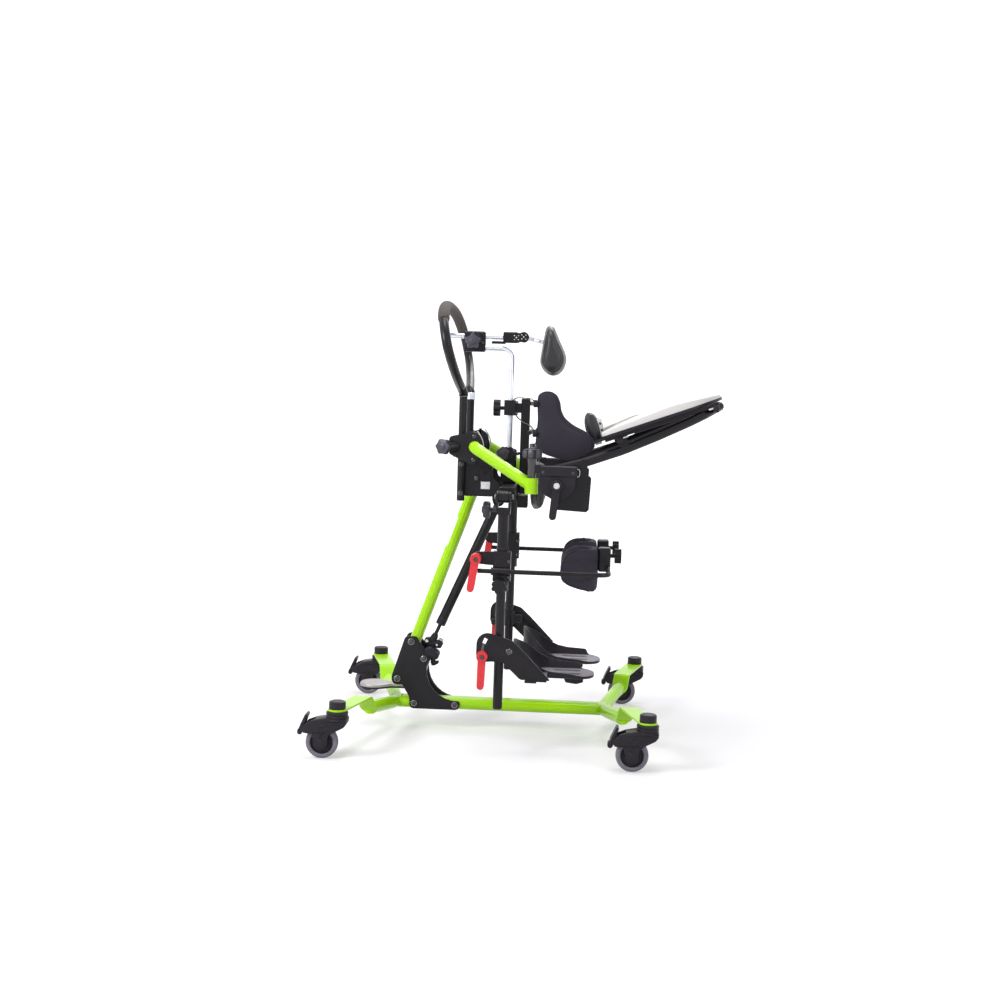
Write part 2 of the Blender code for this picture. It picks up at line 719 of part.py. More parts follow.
def back_frame():
    """Two back tubes, the side plates of the tilt housing, its shaft and a cross tube."""
    tilt = spot(TILT_X, 0, TILT_Z)
    shell = outline(
        [(-146, 683, 6), (-62, 683, 8), (-60, 640, 8), (-42, 628, 4), (-42, 605, 4), (-62, 597, 8), (-146, 597, 6)]
    )
    pieces = []
    for _, sign in SIDES:
        y = sign * BACK_TUBE_Y
        foot = spot(BACK_TUBE_X, y, BACK_FOOT_Z)
        pieces.append(rod(foot, spot(BACK_TUBE_X, y, BACK_TOP_Z), BACK_TUBE_D, 16, "back_frame"))
        inner = BACK_TUBE_Y - BACK_TUBE_D / 2 - HOUSING_THICKNESS + 1 * MM
        low, high = sorted((sign * inner, sign * (inner + HOUSING_THICKNESS)))
        pieces.append(plate([shell], low, high))
        washer = sign * (inner + HOUSING_THICKNESS)
        pieces.append(rod(spot(TILT_X + 3 * MM, washer - sign * 1 * MM, TILT_Z + 2 * MM),
                          spot(TILT_X + 3 * MM, washer + sign * 3 * MM, TILT_Z + 2 * MM), 17 * MM, 16))
        latch = outline([(-90, 668, 2), (-63, 672, 2), (-63, 638, 2), (-90, 634, 2)], 2)
        low, high = sorted((washer - sign * 1 * MM, washer + sign * 3.5 * MM))
        keyhole = disc_outline(-77 * MM, 655 * MM, 9 * MM, 12)
        pieces.append(plate([latch, keyhole], low, high))
    reach = Vector((0, BACK_TUBE_Y - BACK_TUBE_D / 2 - 2 * MM, 0))
    pieces.append(rod(tilt - reach, tilt + reach, TILT_SHAFT_D, 20))
    brace = spot(-74 * MM, 0, 668 * MM)
    pieces.append(rod(brace - reach, brace + reach, 22 * MM, 16))
    return look(join(*pieces), "black")


def hip_beam():
    """The cross beam that carries the legs, the post socket and the upper end of the spring."""
    low = spot(HIP_BEAM_REAR_X, 2 * MM - LEG_Y + 26 * MM, HIP_BEAM_BOTTOM_Z)
    high = spot(HIP_BEAM_FRONT_X, LEG_Y - 28 * MM, HIP_BEAM_TOP_Z)
    beam = block(low, high, "hip_beam", 3 * MM)
    pieces = []
    for _, sign in SIDES:
        hub = spot(LEG_X, sign * LEG_Y, LEG_PIVOT_Z)
        half = Vector((11 * MM, 0, 0))
        pieces.append(rod(hub - half, hub + half, 28 * MM, 20))
        low, high = sorted((sign * (LEG_Y - 30 * MM), sign * (LEG_Y - 4 * MM)))
        pieces.append(block(spot(LEG_X - 10 * MM, low, 598 * MM), spot(LEG_X + 10 * MM, high, 616 * MM)))
    pieces.append(block(mm(-46, -20, 624), mm(-8, 20, 712), "socket", 4 * MM))
    star = spot(-27 * MM, -18 * MM, 701 * MM)
    pieces.append(knob(star + mm(0, -16, 0), Vector((0, -1, 0)), 36 * MM, 15 * MM, 6, 9 * MM, 20 * MM))
    pieces.append(block(mm(-2, -24, 566), mm(24, 24, 598), "mount", 2 * MM))
    top = spring_top()
    rear = HIP_BEAM_REAR_X / MM
    under = HIP_BEAM_BOTTOM_Z / MM
    for side in (-1, 1):
        lug = outline(
            [
                (rear - 26, under + 2.5, 2), (rear + 2, under + 2.5, 0), (rear + 2, under - 12, 6),
                (rear - 10, under - 26, 10), (rear - 24, under - 16, 8),
            ]
        )
        low, high = sorted((side * 8 * MM, side * 13 * MM))
        pieces.append(plate([lug], low, high))
    half = Vector((0, 12 * MM, 0))
    pieces.append(rod(top - half, top + half, SPRING_PIN_D, 12))
    beam = join(beam, *pieces)
    holes = []
    for _, sign in SIDES:
        hub = spot(LEG_X, sign * LEG_Y, LEG_PIVOT_Z)
        reach = Vector((20 * MM, 0, 0))
        holes.append(rod(hub - reach, hub + reach, AXLE_D + 2 * RUNNING_FIT, 16))
    bore = HEAD_TUBE_D + 2 * RUNNING_FIT
    foot = spot(HEAD_POST_X, 0, HEAD_POST_FOOT_Z - 8 * MM)
    holes.append(rod(foot, spot(HEAD_POST_X, 0, 730 * MM), bore, 16))
    return look(cut(beam, *holes), "black")


def handle_loop():
    """The hoop's centre line from the near back tube round to the far one."""
    start = math.asin(BACK_TUBE_Y / HANDLE_HALF_WIDTH)
    turn = 2 * (math.pi - start) / HANDLE_STEPS
    path = []
    for step in range(HANDLE_STEPS + 1):
        angle = start + turn * step
        height = HANDLE_CENTRE_Z - HANDLE_HALF_HEIGHT * math.cos(angle)
        path.append(hoop_spot(-HANDLE_HALF_WIDTH * math.sin(angle), height))
    return path


def hoop_spot(y, z):
    return spot(BACK_TUBE_X - max(0, z - BACK_TOP_Z) * HANDLE_LEAN, y, z)


def push_handle():
    """The oval hoop on the back tubes, and the foam grip over its top."""
    loop = handle_loop()
    foot = BACK_TOP_Z + GAP
    near, far = ([spot(BACK_TUBE_X, sign * BACK_TUBE_Y, foot + rise) for rise in (0, 7 * MM)] for _, sign in SIDES)
    hoop = tube([*near, *loop, *reversed(far)], HANDLE_D, 10, "push_handle")
    grip = tube(loop[GRIP_STEP:-GRIP_STEP], GRIP_D, 10, "handle_grip")
    grip = cut(grip, tube(loop[GRIP_STEP - 1:1 - GRIP_STEP], HANDLE_D + 5 * GAP, 10))
    return look(hoop, "black"), look(grip, "foam")


def arm_bracket(side, sign):
    """The plate, ratchet disc and tube clamp that hold a tray arm, with its star knob."""
    shape = outline([(-161, 739, 4), (-108, 755, 6), (-88, 752, 8), (-77, 722, 10), (-99, 675, 5), (-166, 700, 6)])
    outer = ARM_HUB_Y + 2 * MM
    low, high = sorted((sign * (outer - 5 * MM), sign * outer))
    body = plate([shape], low, high, None, "arm_bracket_" + side)
    hub_x = ARM_HUB_X - 10 * MM
    ends = [spot(hub_x, sign * (ARM_HUB_Y - edge), ARM_HUB_Z - 3 * MM) for edge in (11 * MM, 5.5 * MM)]
    disc = rod(ends[0], ends[1], ARM_DISC_D, 24)
    web = [spot(hub_x, sign * (ARM_HUB_Y - edge), ARM_HUB_Z - 3 * MM) for edge in (7 * MM, 1 * MM)]
    core = rod(web[0], web[1], ARM_DISC_D - 8 * MM, 20)
    low, high = sorted((sign * (BACK_TUBE_Y - 14 * MM), sign * (ARM_HUB_Y - 8 * MM)))
    clamp = block(spot(-150 * MM, low, 692 * MM), spot(-122 * MM, high, 744 * MM), "clamp", 3 * MM)
    hole_foot = spot(BACK_TUBE_X, sign * BACK_TUBE_Y, 680 * MM)
    hole = rod(hole_foot, hole_foot + mm(0, 0, 80), BACK_TUBE_D + 2 * GAP, 16)
    axis = Vector((-0.75, sign * 0.66, 0)).normalized()
    star = spot(-178 * MM, sign * (ARM_HUB_Y + 12 * MM), 717 * MM)
    star_knob = knob(star, axis, 38 * MM, 15 * MM, 5, 14 * MM, 30 * MM)
    return look(cut(join(body, disc, core, clamp, star_knob), hole), "plastic")


def tray_arm(side, sign):
    """A bent arm from its hub on the bracket to the socket for the tray's post."""
    hub = spot(ARM_HUB_X, sign * (ARM_HUB_Y + 2 * MM + GAP), ARM_HUB_Z)
    elbow = spot(ARM_HUB_X, sign * ARM_ELBOW_Y, ARM_HUB_Z)
    mid_z = (SOCKET_BOTTOM_Z + SOCKET_TOP_Z) / 2
    socket = spot(SOCKET_X, sign * LEG_Y, mid_z)
    arm = tube(rounded([hub, elbow, socket], [22 * MM], 4), ARM_D, 12, "arm_" + side)
    foot = spot(SOCKET_X, sign * LEG_Y, SOCKET_BOTTOM_Z)
    top = spot(SOCKET_X, sign * LEG_Y, SOCKET_TOP_Z)
    up = mm(0, 0, 20)
    arm = join(arm, rod(foot, top, SOCKET_D, 20))
    arm = cut(arm, rod(foot - up, top + up, TRAY_POST_D + 2 * RUNNING_FIT, 16))
    return look(arm, "lime")


def tray_carrier(side, sign):
    """The post in the arm's socket, and the half disc that the tray tilts on."""
    y = sign * LEG_Y
    foot = spot(SOCKET_X, y, SOCKET_BOTTOM_Z + 1 * MM)
    post = rod(foot, spot(SOCKET_X, y, TRAY_POST_TOP_Z), TRAY_POST_D, 16, "tray_carrier_" + side)
    cap = knob(spot(SOCKET_X, y, TRAY_POST_TOP_Z - 1 * MM), Vector((0, 0, 1)), 45 * MM, 20 * MM, 7)
    low, high = sorted((sign * (LEG_Y - 8 * MM), sign * (LEG_Y + 8 * MM)))
    bridge = block(spot(SOCKET_X, low, 664.5 * MM), spot(62 * MM, high, 684 * MM), "bridge")
    low, high = sorted((sign * (LEG_Y - 8 * MM), sign * (LEG_Y + 12 * MM)))
    box = block(spot(57 * MM, low, 657 * MM), spot(145 * MM, high, 683 * MM), "box", 2.5 * MM)
    half_disc = outline(
        [(57, 668, 0), (57, 640, 6), (61, 626, 0), (72, 614, 0), (85, 607, 0), (99, 605, 0), (113, 607, 0),
         (126, 614, 0), (137, 626, 0), (141, 640, 6), (141, 668, 0)]
    )
    low, high = sorted((sign * (LEG_Y + 4 * MM), sign * (LEG_Y + 10 * MM)))
    disc = plate([half_disc], low, high)
    inner = TRAY_TUBE_Y + 14.6 * MM
    boss = rod(spot(TRAY_PIVOT_X, sign * inner, TRAY_PIVOT_Z), spot(TRAY_PIVOT_X, sign * 255 * MM, TRAY_PIVOT_Z),
               24 * MM, 14)
    reach = rod(spot(TRAY_PIVOT_X, sign * 220 * MM, TRAY_PIVOT_Z), spot(TRAY_PIVOT_X, sign * 290 * MM, TRAY_PIVOT_Z),
                AXLE_D + 2 * RUNNING_FIT, 16)
    return look(cut(join(post, cap, bridge, box, disc, boss), reach), "plastic")


def tray_frame():
    """The bowed tube under the tray, its rails and the two plates that it tilts on."""
    r = 45 * MM
    bow = 250 * MM
    route = [(93, 673), (165, 693), (250, 724), (330, 760), (400, 794), (473, 833)]
    near = [spot(x * MM, -TRAY_TUBE_Y, z * MM) for x, z in route]
    far = [spot(x * MM, TRAY_TUBE_Y, z * MM) for x, z in reversed(route)]
    frame = tube(rounded([*near, *far], [bow, bow, bow, bow, r, r, bow, bow, bow, bow], 1), TRAY_TUBE_D, 10,
                 "tray_frame")
    pieces = []
    for _, sign in SIDES:
        shape = outline([(98, 662, 5), (150, 662, 0), (150, 700, 6), (168, 700, 6), (168, 662, 0), (178, 660, 5),
                         (174, 576, 6), (92, 580, 6), (86, 640, 8)])
        inner = TRAY_TUBE_Y + 9 * MM
        low, high = sorted((sign * inner, sign * (inner + 5 * MM)))
        hole = disc_outline(TRAY_PIVOT_X, TRAY_PIVOT_Z, AXLE_D + 2 * RUNNING_FIT)
        pieces.append(plate([shape, hole], low, high))
        pieces += tray_rail(sign)
    return look(join(frame, *pieces), "black")


def tray_plane():
    """A frame whose X runs up the slope of the tray's underside, from its rear edge."""
    place = Matrix.Translation((TRAY_REAR_X, 0, TRAY_REAR_Z))
    lift = Matrix.Translation((0, 0, -TRAY_THICKNESS / 2))
    return place @ Matrix.Rotation(-TRAY_SLOPE, 4, "Y") @ lift


def tray_rail(sign):
    """A rail under the tray's edge and the block that stands on the bowed tube."""
    plane = tray_plane()
    low = spot(4 * MM, TRAY_TUBE_Y - RAIL_WIDTH / 2, -TRAY_THICKNESS / 2 - GAP - RAIL_THICKNESS)
    high = spot(TRAY_LENGTH - 14 * MM, TRAY_TUBE_Y + RAIL_WIDTH / 2, -TRAY_THICKNESS / 2 - GAP)
    rail = block(low, high, "rail")
    foot = block(spot(34 * MM, TRAY_TUBE_Y - 8 * MM, -36 * MM), spot(54 * MM, TRAY_TUBE_Y + 8 * MM, -8 * MM))
    made = []
    for piece in (rail, foot):
        piece.data.transform(plane)
        if sign < 0:
            piece.data.transform(Matrix.Diagonal((1, -1, 1, 1)))
            piece.data.flip_normals()
        made.append(piece)
    return made


def tray_top():
    """The tray, with round front corners and the cut-out for the body at its rear edge."""
    w = TRAY_HALF_WIDTH
    corners = [
        (0, -w), (TRAY_LENGTH, -w), (TRAY_LENGTH, w), (0, w), (0, TRAY_CUTOUT), (TRAY_CUTOUT * 0.8, TRAY_CUTOUT),
        (TRAY_CUTOUT * 0.8, -TRAY_CUTOUT), (0, -TRAY_CUTOUT),
    ]
    radii = [25 * MM, TRAY_CORNER, TRAY_CORNER, 25 * MM, 20 * MM, 80 * MM, 80 * MM, 20 * MM]
    points = [Vector(corner) for corner in corners]
    shape = []
    for index, radius in enumerate(radii):
        after = points[(index + 1) % len(points)]
        shape += arc(points[index - 1], points[index], after, radius, 6)
    half = TRAY_THICKNESS / 2
    return look(plate([shape], -half, half, tray_plane(), "tray_top"), "tray")


def cushion(edge, centre, half_width, crown, frame, name, rings=3, power=2.2):
    """A soft pad: its edge outline, drawn in and crowned on both faces."""
    bm = bmesh.new()
    layers = []
    for step in range(-rings, rings + 1):
        share = abs(step) / rings
        height = half_width * math.copysign(1, step) * (1 - (1 - share) ** power) if step else 0
        inset = 1 - 0.5 * max(0, share - 0.25) ** 1.6 / 0.75 ** 1.6
        height += math.copysign(crown * share ** 3, step) if step else 0
        ring = [centre + (point - centre) * inset for point in edge]
        layers.append([bm.verts.new(frame @ Vector((p.x, height, p.y))) for p in ring])
    for low, high in zip(layers, layers[1:]):
        for index in range(len(edge)):
            bm.faces.new((low[index - 1], low[index], high[index], high[index - 1]))
    for layer, step in ((layers[0], -1), (layers[-1], 1)):
        peak = bm.verts.new(frame @ Vector((centre.x, step * (half_width + crown * 1.25), centre.y)))
        for index in range(len(layer)):
            bm.faces.new((layer[index - 1], layer[index], peak))
    return from_bmesh(name, bm)


def elbow_pad(side, sign):
    """An upright oval elbow stop at the tray's rear edge, with its backing plate."""
    lean = math.radians(-38)
    turn = Matrix.Translation(spot(183 * MM, sign * 98 * MM, 784 * MM)) @ Matrix.Rotation(lean, 4, "Y")
    edge = []
    for step in range(20):
        angle = 2 * math.pi * step / 20
        edge.append(Vector((19 * MM * math.cos(angle), 37 * MM * math.sin(angle))))
    pad = cushion(edge, Vector((0, 0)), 17 * MM, 3 * MM, turn, "elbow_pad_" + side, 3)
    return look(pad, "vinyl")


def head_support():
    """The bent post, the clamp on it with its knob, the bar, its hinged link and the pad."""
    foot = spot(HEAD_POST_X, 0, HEAD_POST_FOOT_Z)
    corner = spot(HEAD_POST_X, 0, HEAD_POST_TOP_Z)
    end = spot(HEAD_CLAMP_REAR_X + 6 * MM, 0, HEAD_POST_TOP_Z)
    post = tube(rounded([foot, corner, end], [HEAD_BEND], 6), HEAD_TUBE_D, 12, "head_post")
    half = HEAD_CLAMP_WIDTH / 2
    low = spot(HEAD_CLAMP_REAR_X, -half, HEAD_POST_TOP_Z - 10 * MM)
    high = spot(HEAD_CLAMP_FRONT_X, half, HEAD_BAR_Z + 12 * MM)
    clamp = block(low, high, "head_clamp", 3 * MM)
    centre_x = (HEAD_CLAMP_REAR_X + HEAD_CLAMP_FRONT_X) / 2
    star = spot(centre_x, -half - 12 * MM, (HEAD_POST_TOP_Z + HEAD_BAR_Z) / 2 + 4 * MM)
    clamp = join(clamp, knob(star, Vector((0, -1, 0)), 38 * MM, 15 * MM, 5, 11 * MM, 18 * MM))
    bore_d = HEAD_TUBE_D + 2 * RUNNING_FIT
    bores = []
    for z in (HEAD_POST_TOP_Z, HEAD_BAR_Z):
        start = spot(HEAD_CLAMP_REAR_X - 20 * MM, 0, z)
        bores.append(rod(start, spot(HEAD_CLAMP_FRONT_X + 20 * MM, 0, z), bore_d, 12))
    clamp = cut(clamp, *bores)
    bar_end = spot(-40 * MM, 0, HEAD_BAR_Z)
    bar = rod(spot(-182 * MM, 0, HEAD_BAR_Z), bar_end, HEAD_TUBE_D, 16, "head_bar")
    level = HEAD_BAR_Z / MM
    shell = block(mm(-50, -11, level - 14), mm(-14, 11, level + 13), "hinge", 2.5 * MM)
    pieces = [shell]
    for x, z, wide in ((-17, level - 1, 12), (HEAD_PIVOT_X / MM, HEAD_PIVOT_Z / MM, 11.5)):
        pieces.append(rod(mm(x, -wide, z), mm(x, wide, z), 26 * MM, 16))
    pieces.append(block(mm(-20, -9, level - 11), mm(1, 9, level + 11)))
    pieces.append(block(mm(-79, -4, level - 17), mm(-44, 4, level - 10.5), "release", 1.5 * MM))
    bar = join(bar, *pieces)
    bar = cut(bar, block(mm(-12, -4, level - 19), mm(20, 4, level + 17)))
    pivot = spot(HEAD_PIVOT_X, 0, HEAD_PIVOT_Z)
    slant = Vector((50, 0, -11)).normalized()
    link_end = pivot + slant * 52 * MM
    link = rod(pivot - Vector((0, 3.4 * MM, 0)), pivot + Vector((0, 3.4 * MM, 0)), 22 * MM, 20, "head_link")
    bar_turn = Matrix.Translation(pivot) @ Matrix.Rotation(math.atan2(11, 50), 4, "Y")
    strip = block(mm(4, -3.4, -5.5), mm(52, 3.4, 5.5))
    slot = block(mm(19, -6, -1.8), mm(44, 6, 1.8))
    for piece in (strip, slot):
        piece.data.transform(bar_turn)
    link = cut(join(link, strip), slot)
    looks = (look(post, "metal"), look(clamp, "black"), look(bar, "metal"), look(link, "metal"))
    height = empty("head_height", foot)
    hang(height, looks[0], looks[1])
    reach = empty("head_reach", spot(centre_x, 0, HEAD_BAR_Z), height)
    hang(reach, looks[2])
    tilt = empty("head_tilt", pivot, reach)
    hang(tilt, looks[3], look(head_pad(link_end), "vinyl"))


def head_pad(link_end):
    """The teardrop pad, thick below and thin above, rounded towards both ends."""
    bm = bmesh.new()
    profile = [(66, 32), (56, 26), (51, -5), (46, -35), (43, -60), (50, -78), (64, -91), (79, -94),
               (94, -88), (105, -72), (109, -51), (103, -31), (90, -7), (80, 16), (76, 28)]
    smooth = closed_curve([Vector((x * MM, HEAD_PIVOT_Z + rise * MM)) for x, rise in profile], 2)
    centre = Vector((74 * MM, HEAD_PIVOT_Z - 50 * MM))
    stations = 8
    layers = []
    for step in range(stations + 1):
        angle = math.pi * (step / stations - 0.5) * 0.94
        y = HEAD_PAD_WIDTH / 2 * math.sin(angle)
        size = math.cos(angle) ** 0.45
        ring = [centre + Vector(((p.x - centre.x) * size, (p.y - centre.y) * size)) for p in smooth]
        layers.append([bm.verts.new((max(p.x, link_end.x + 1 * MM if abs(y) < 9 * MM and abs(p.y - link_end.z)
                                         < 9 * MM else p.x), y, p.y)) for p in ring])
    for low, high in zip(layers, layers[1:]):
        for index in range(len(smooth)):
            bm.faces.new((low[index - 1], low[index], high[index], high[index - 1]))
    bm.faces.new(layers[0])
    bm.faces.new(layers[-1])
    pad = from_bmesh("head_pad", bm)
    return cut(pad, block(spot(30 * MM, -6 * MM, link_end.z - 9 * MM), link_end + mm(1.5, 6, 9)))


def closed_curve(points, cuts):
    """Points along a smooth closed curve through the given ones."""
    smooth = []
    count = len(points)
    for index in range(count):
        a, b, c, d = (points[(index + step) % count] for step in (-1, 0, 1, 2))
        for part in range(cuts):
            t = part / cuts
            smooth.append(
                0.5 * (2 * b + (c - a) * t + (2 * a - 5 * b + 4 * c - d) * t * t + (3 * b - a - 3 * c + d) * t ** 3)
            )
    return smooth


def trunk_bar():
    """The upright bar with the side pads' cross bars, the post clamp, its knob and two cables."""
    x0 = HIP_BEAM_FRONT_X + GAP
    half = TRUNK_BAR / 2
    low = spot(x0, -half, TRUNK_BAR_FOOT_Z)
    bar = block(low, spot(x0 + TRUNK_BAR, half, TRUNK_BAR_TOP_Z), "trunk_bar", 2 * MM)
    pieces = []
    for z in (755, 826):
        front = x0 + TRUNK_BAR
        pieces.append(block(spot(front - 2 * MM, -SIDE_PAD_Y - 8 * MM, (z - 5) * MM),
                            spot(front + 6 * MM, SIDE_PAD_Y + 8 * MM, (z + 5) * MM), "cross"))
    pieces.append(block(mm(-42, -17, 795), mm(-14, 17, 833), "clamp"))
    pieces.append(block(mm(-18, -9, 802), mm(3, 9, 826), "neck"))
    star = mm(-52, 0, 813)
    pieces.append(knob(star, Vector((-1, 0, 0)), 41 * MM, 17 * MM, 7, 10 * MM, 14 * MM))
    bar = join(bar, *pieces)
    foot = spot(HEAD_POST_X, 0, 780 * MM)
    bore = rod(foot, foot + mm(0, 0, 70), HEAD_TUBE_D + 2 * RUNNING_FIT, 16)
    return look(cut(bar, bore), "black")


def side_pad(side, sign, parent):
    """A trunk side pad: a crowned cushion with a waisted outline, and its two brackets."""
    corners = [(41, 838), (50, 853), (66, 858), (84, 853), (95, 833), (101, 812), (110, 795), (131, 777),
               (158, 762), (178, 747), (186, 731), (180, 715), (154, 702), (124, 691), (90, 697), (60, 707),
               (43, 726), (42, 755), (44, 790)]
    edge = closed_curve([Vector((x * MM, z * MM)) for x, z in corners], 2)
    centre = Vector((88 * MM, 765 * MM))
    frame = Matrix.Translation((0, sign * SIDE_PAD_Y, 0))
    pad = cushion(edge, centre, SIDE_PAD_THICKNESS / 2 - 4 * MM, 4 * MM, frame, "side_pad_" + side)
    axis = empty("side_pad_slide_" + side, spot(40 * MM, sign * SIDE_PAD_Y, 765 * MM), parent)
    hang(axis, look(pad, "cloth"))


def hip_pad():
    """The curved pad behind the hips."""
    bm = bmesh.new()
    half = HIP_PAD_WIDTH / 2
    middle = (HIP_PAD_BOTTOM_Z + HIP_PAD_TOP_Z) / 2
    high = (HIP_PAD_TOP_Z - HIP_PAD_BOTTOM_Z) / 2
    layers = []
    for step in range(11):
        angle = math.pi * (step / 10 - 0.5) * 0.92
        y = half * math.sin(angle) / math.sin(math.pi * 0.46)
        thick = HIP_PAD_THICKNESS / 2 * math.cos(angle) ** 0.5
        tall = high * (0.55 + 0.45 * math.cos(angle) ** 0.6)
        forward = HIP_PAD_X + HIP_PAD_THICKNESS / 2 + 14 * MM * (y / half) ** 2
        ring = []
        for turn in range(20):
            t = 2 * math.pi * turn / 20
            c, s = math.cos(t), math.sin(t)
            ring.append(bm.verts.new((forward + thick * math.copysign(abs(c) ** 0.7, c), y,
                                      middle + tall * math.copysign(abs(s) ** 0.6, s))))
        layers.append(ring)
    for low, up in zip(layers, layers[1:]):
        for index in range(20):
            bm.faces.new((low[index - 1], low[index], up[index], up[index - 1]))
    bm.faces.new(layers[0])
    bm.faces.new(layers[-1])
    return look(from_bmesh("hip_pad", bm), "vinyl")


def leg(side, sign, parent):
    """One leg: the upper tube with its knee clamp, the lower tube, and what they carry."""
    hub = spot(LEG_X, sign * LEG_Y, LEG_PIVOT_Z)
    swing = empty("leg_swing_" + side, hub, parent)
    hang(swing, leg_upper(side, sign))
    length = empty("leg_length_" + side, spot(LEG_X, sign * LEG_Y, UPPER_LEG_FOOT_Z), swing)
    hang(length, leg_lower(side, sign))
    knee(side, sign, swing)
    foot(side, sign, length)


def leg_upper(side, sign):
    """A yoke on the hip pivot, the tube below it, and the clamp for the knee rod."""
    y = sign * LEG_Y
    hub = spot(LEG_X, y, LEG_PIVOT_Z)
    body = rod(spot(LEG_X, y, UPPER_LEG_FOOT_Z), spot(LEG_X, y, UPPER_LEG_TOP_Z - 4 * MM), UPPER_LEG_D, 20,
               "leg_upper_" + side)
    pieces = [block(spot(LEG_X - 16 * MM, y - 13 * MM, UPPER_LEG_TOP_Z - 12 * MM),
                    spot(LEG_X + 16 * MM, y + 13 * MM, UPPER_LEG_TOP_Z + 3 * MM), "yoke")]
    for reach in (-17 * MM, 12 * MM):
        low = Vector((reach, 0, 0))
        high = Vector((reach + 5 * MM, 0, 0))
        pieces.append(rod(hub + low, hub + high, 26 * MM, 16))
        pieces.append(block(spot(LEG_X + reach + 0.4 * MM, y - 12 * MM, UPPER_LEG_TOP_Z - 6 * MM),
                            spot(LEG_X + reach + 4.6 * MM, y + 12 * MM, LEG_PIVOT_Z)))
    half = Vector((19 * MM, 0, 0))
    pieces.append(rod(hub - half, hub + half, AXLE_D))
    pieces.append(rod(spot(LEG_X, y, UPPER_LEG_FOOT_Z - 1 * MM), spot(LEG_X, y, 414 * MM), 33 * MM, 14))
    star = spot(LEG_X - 4 * MM, y + sign * 30 * MM, 401 * MM)
    pieces.append(knob(star, Vector((0, sign, 0)), 35 * MM, 14 * MM, 7, 10 * MM, 18 * MM))
    low, high = sorted((sign * (LEG_Y - 17 * MM), sign * (LEG_Y + 16 * MM)))
    pieces.append(block(spot(-44 * MM, low, 410 * MM), spot(-3 * MM, high, 479 * MM), "clamp"))
    low, high = sorted((sign * (LEG_Y + 14 * MM), sign * KNEE_ROD_Y))
    pieces.append(block(spot(-44 * MM, low, 427 * MM), spot(-8 * MM, high, 441 * MM)))
    sleeve_end = spot(-4.5 * MM, sign * KNEE_ROD_Y, KNEE_ROD_Z)
    pieces.append(rod(spot(-48 * MM, sign * KNEE_ROD_Y, KNEE_ROD_Z), sleeve_end, 18 * MM, 12))
    arm = outline([(-38, 478, 4), (-38, 446, 4), (-58, 447, 6), (-96, 450, 11), (-96, 475, 11), (-70, 477, 6)])
    low, high = sorted((sign * (LEG_Y - 6 * MM), sign * (LEG_Y + 6 * MM)))
    pieces.append(plate([arm], low, high))
    body = join(body, *pieces)
    bore = rod(spot(LEG_X, y, UPPER_LEG_FOOT_Z - 9 * MM), spot(LEG_X, y, LOWER_LEG_TOP_Z + 9 * MM),
               LOWER_LEG_D + 2 * RUNNING_FIT, 20)
    rod_bore = rod(spot(-70 * MM, sign * KNEE_ROD_Y, KNEE_ROD_Z), spot(20 * MM, sign * KNEE_ROD_Y, KNEE_ROD_Z),
                   KNEE_ROD_D + 2 * RUNNING_FIT)
    return look(cut(body, bore, rod_bore), "black")


def leg_lower(side, sign):
    """The lower tube, with the foot clamp and the pivot pin of the foot plate."""
    y = sign * LEG_Y
    body = rod(spot(LEG_X, y, LOWER_LEG_FOOT_Z), spot(LEG_X, y, LOWER_LEG_TOP_Z), LOWER_LEG_D, 20,
               "leg_lower_" + side)
    inner = FOOT_PLATE_Y - 7 * MM
    collar = rod(spot(LEG_X, y, 229 * MM), spot(LEG_X, y, 264 * MM), 33 * MM, 20)
    low, high = sorted((sign * (LEG_Y - 10 * MM), sign * inner))
    front = block(spot(LEG_X, low, 235 * MM), spot(FOOT_PIVOT_X + 11 * MM, high, 257 * MM), "front", 3 * MM)
    rear = block(spot(FOOT_LEVER_X - 10 * MM, low, 226 * MM), spot(LEG_X, high, 244 * MM), "rear", 3 * MM)
    pin = rod(spot(FOOT_PIVOT_X, sign * (inner - 6 * MM), FOOT_PIVOT_Z),
              spot(FOOT_PIVOT_X, sign * (FOOT_PLATE_Y + 1 * MM), FOOT_PIVOT_Z), AXLE_D, 16)
    return look(join(body, collar, front, rear, pin), "black")


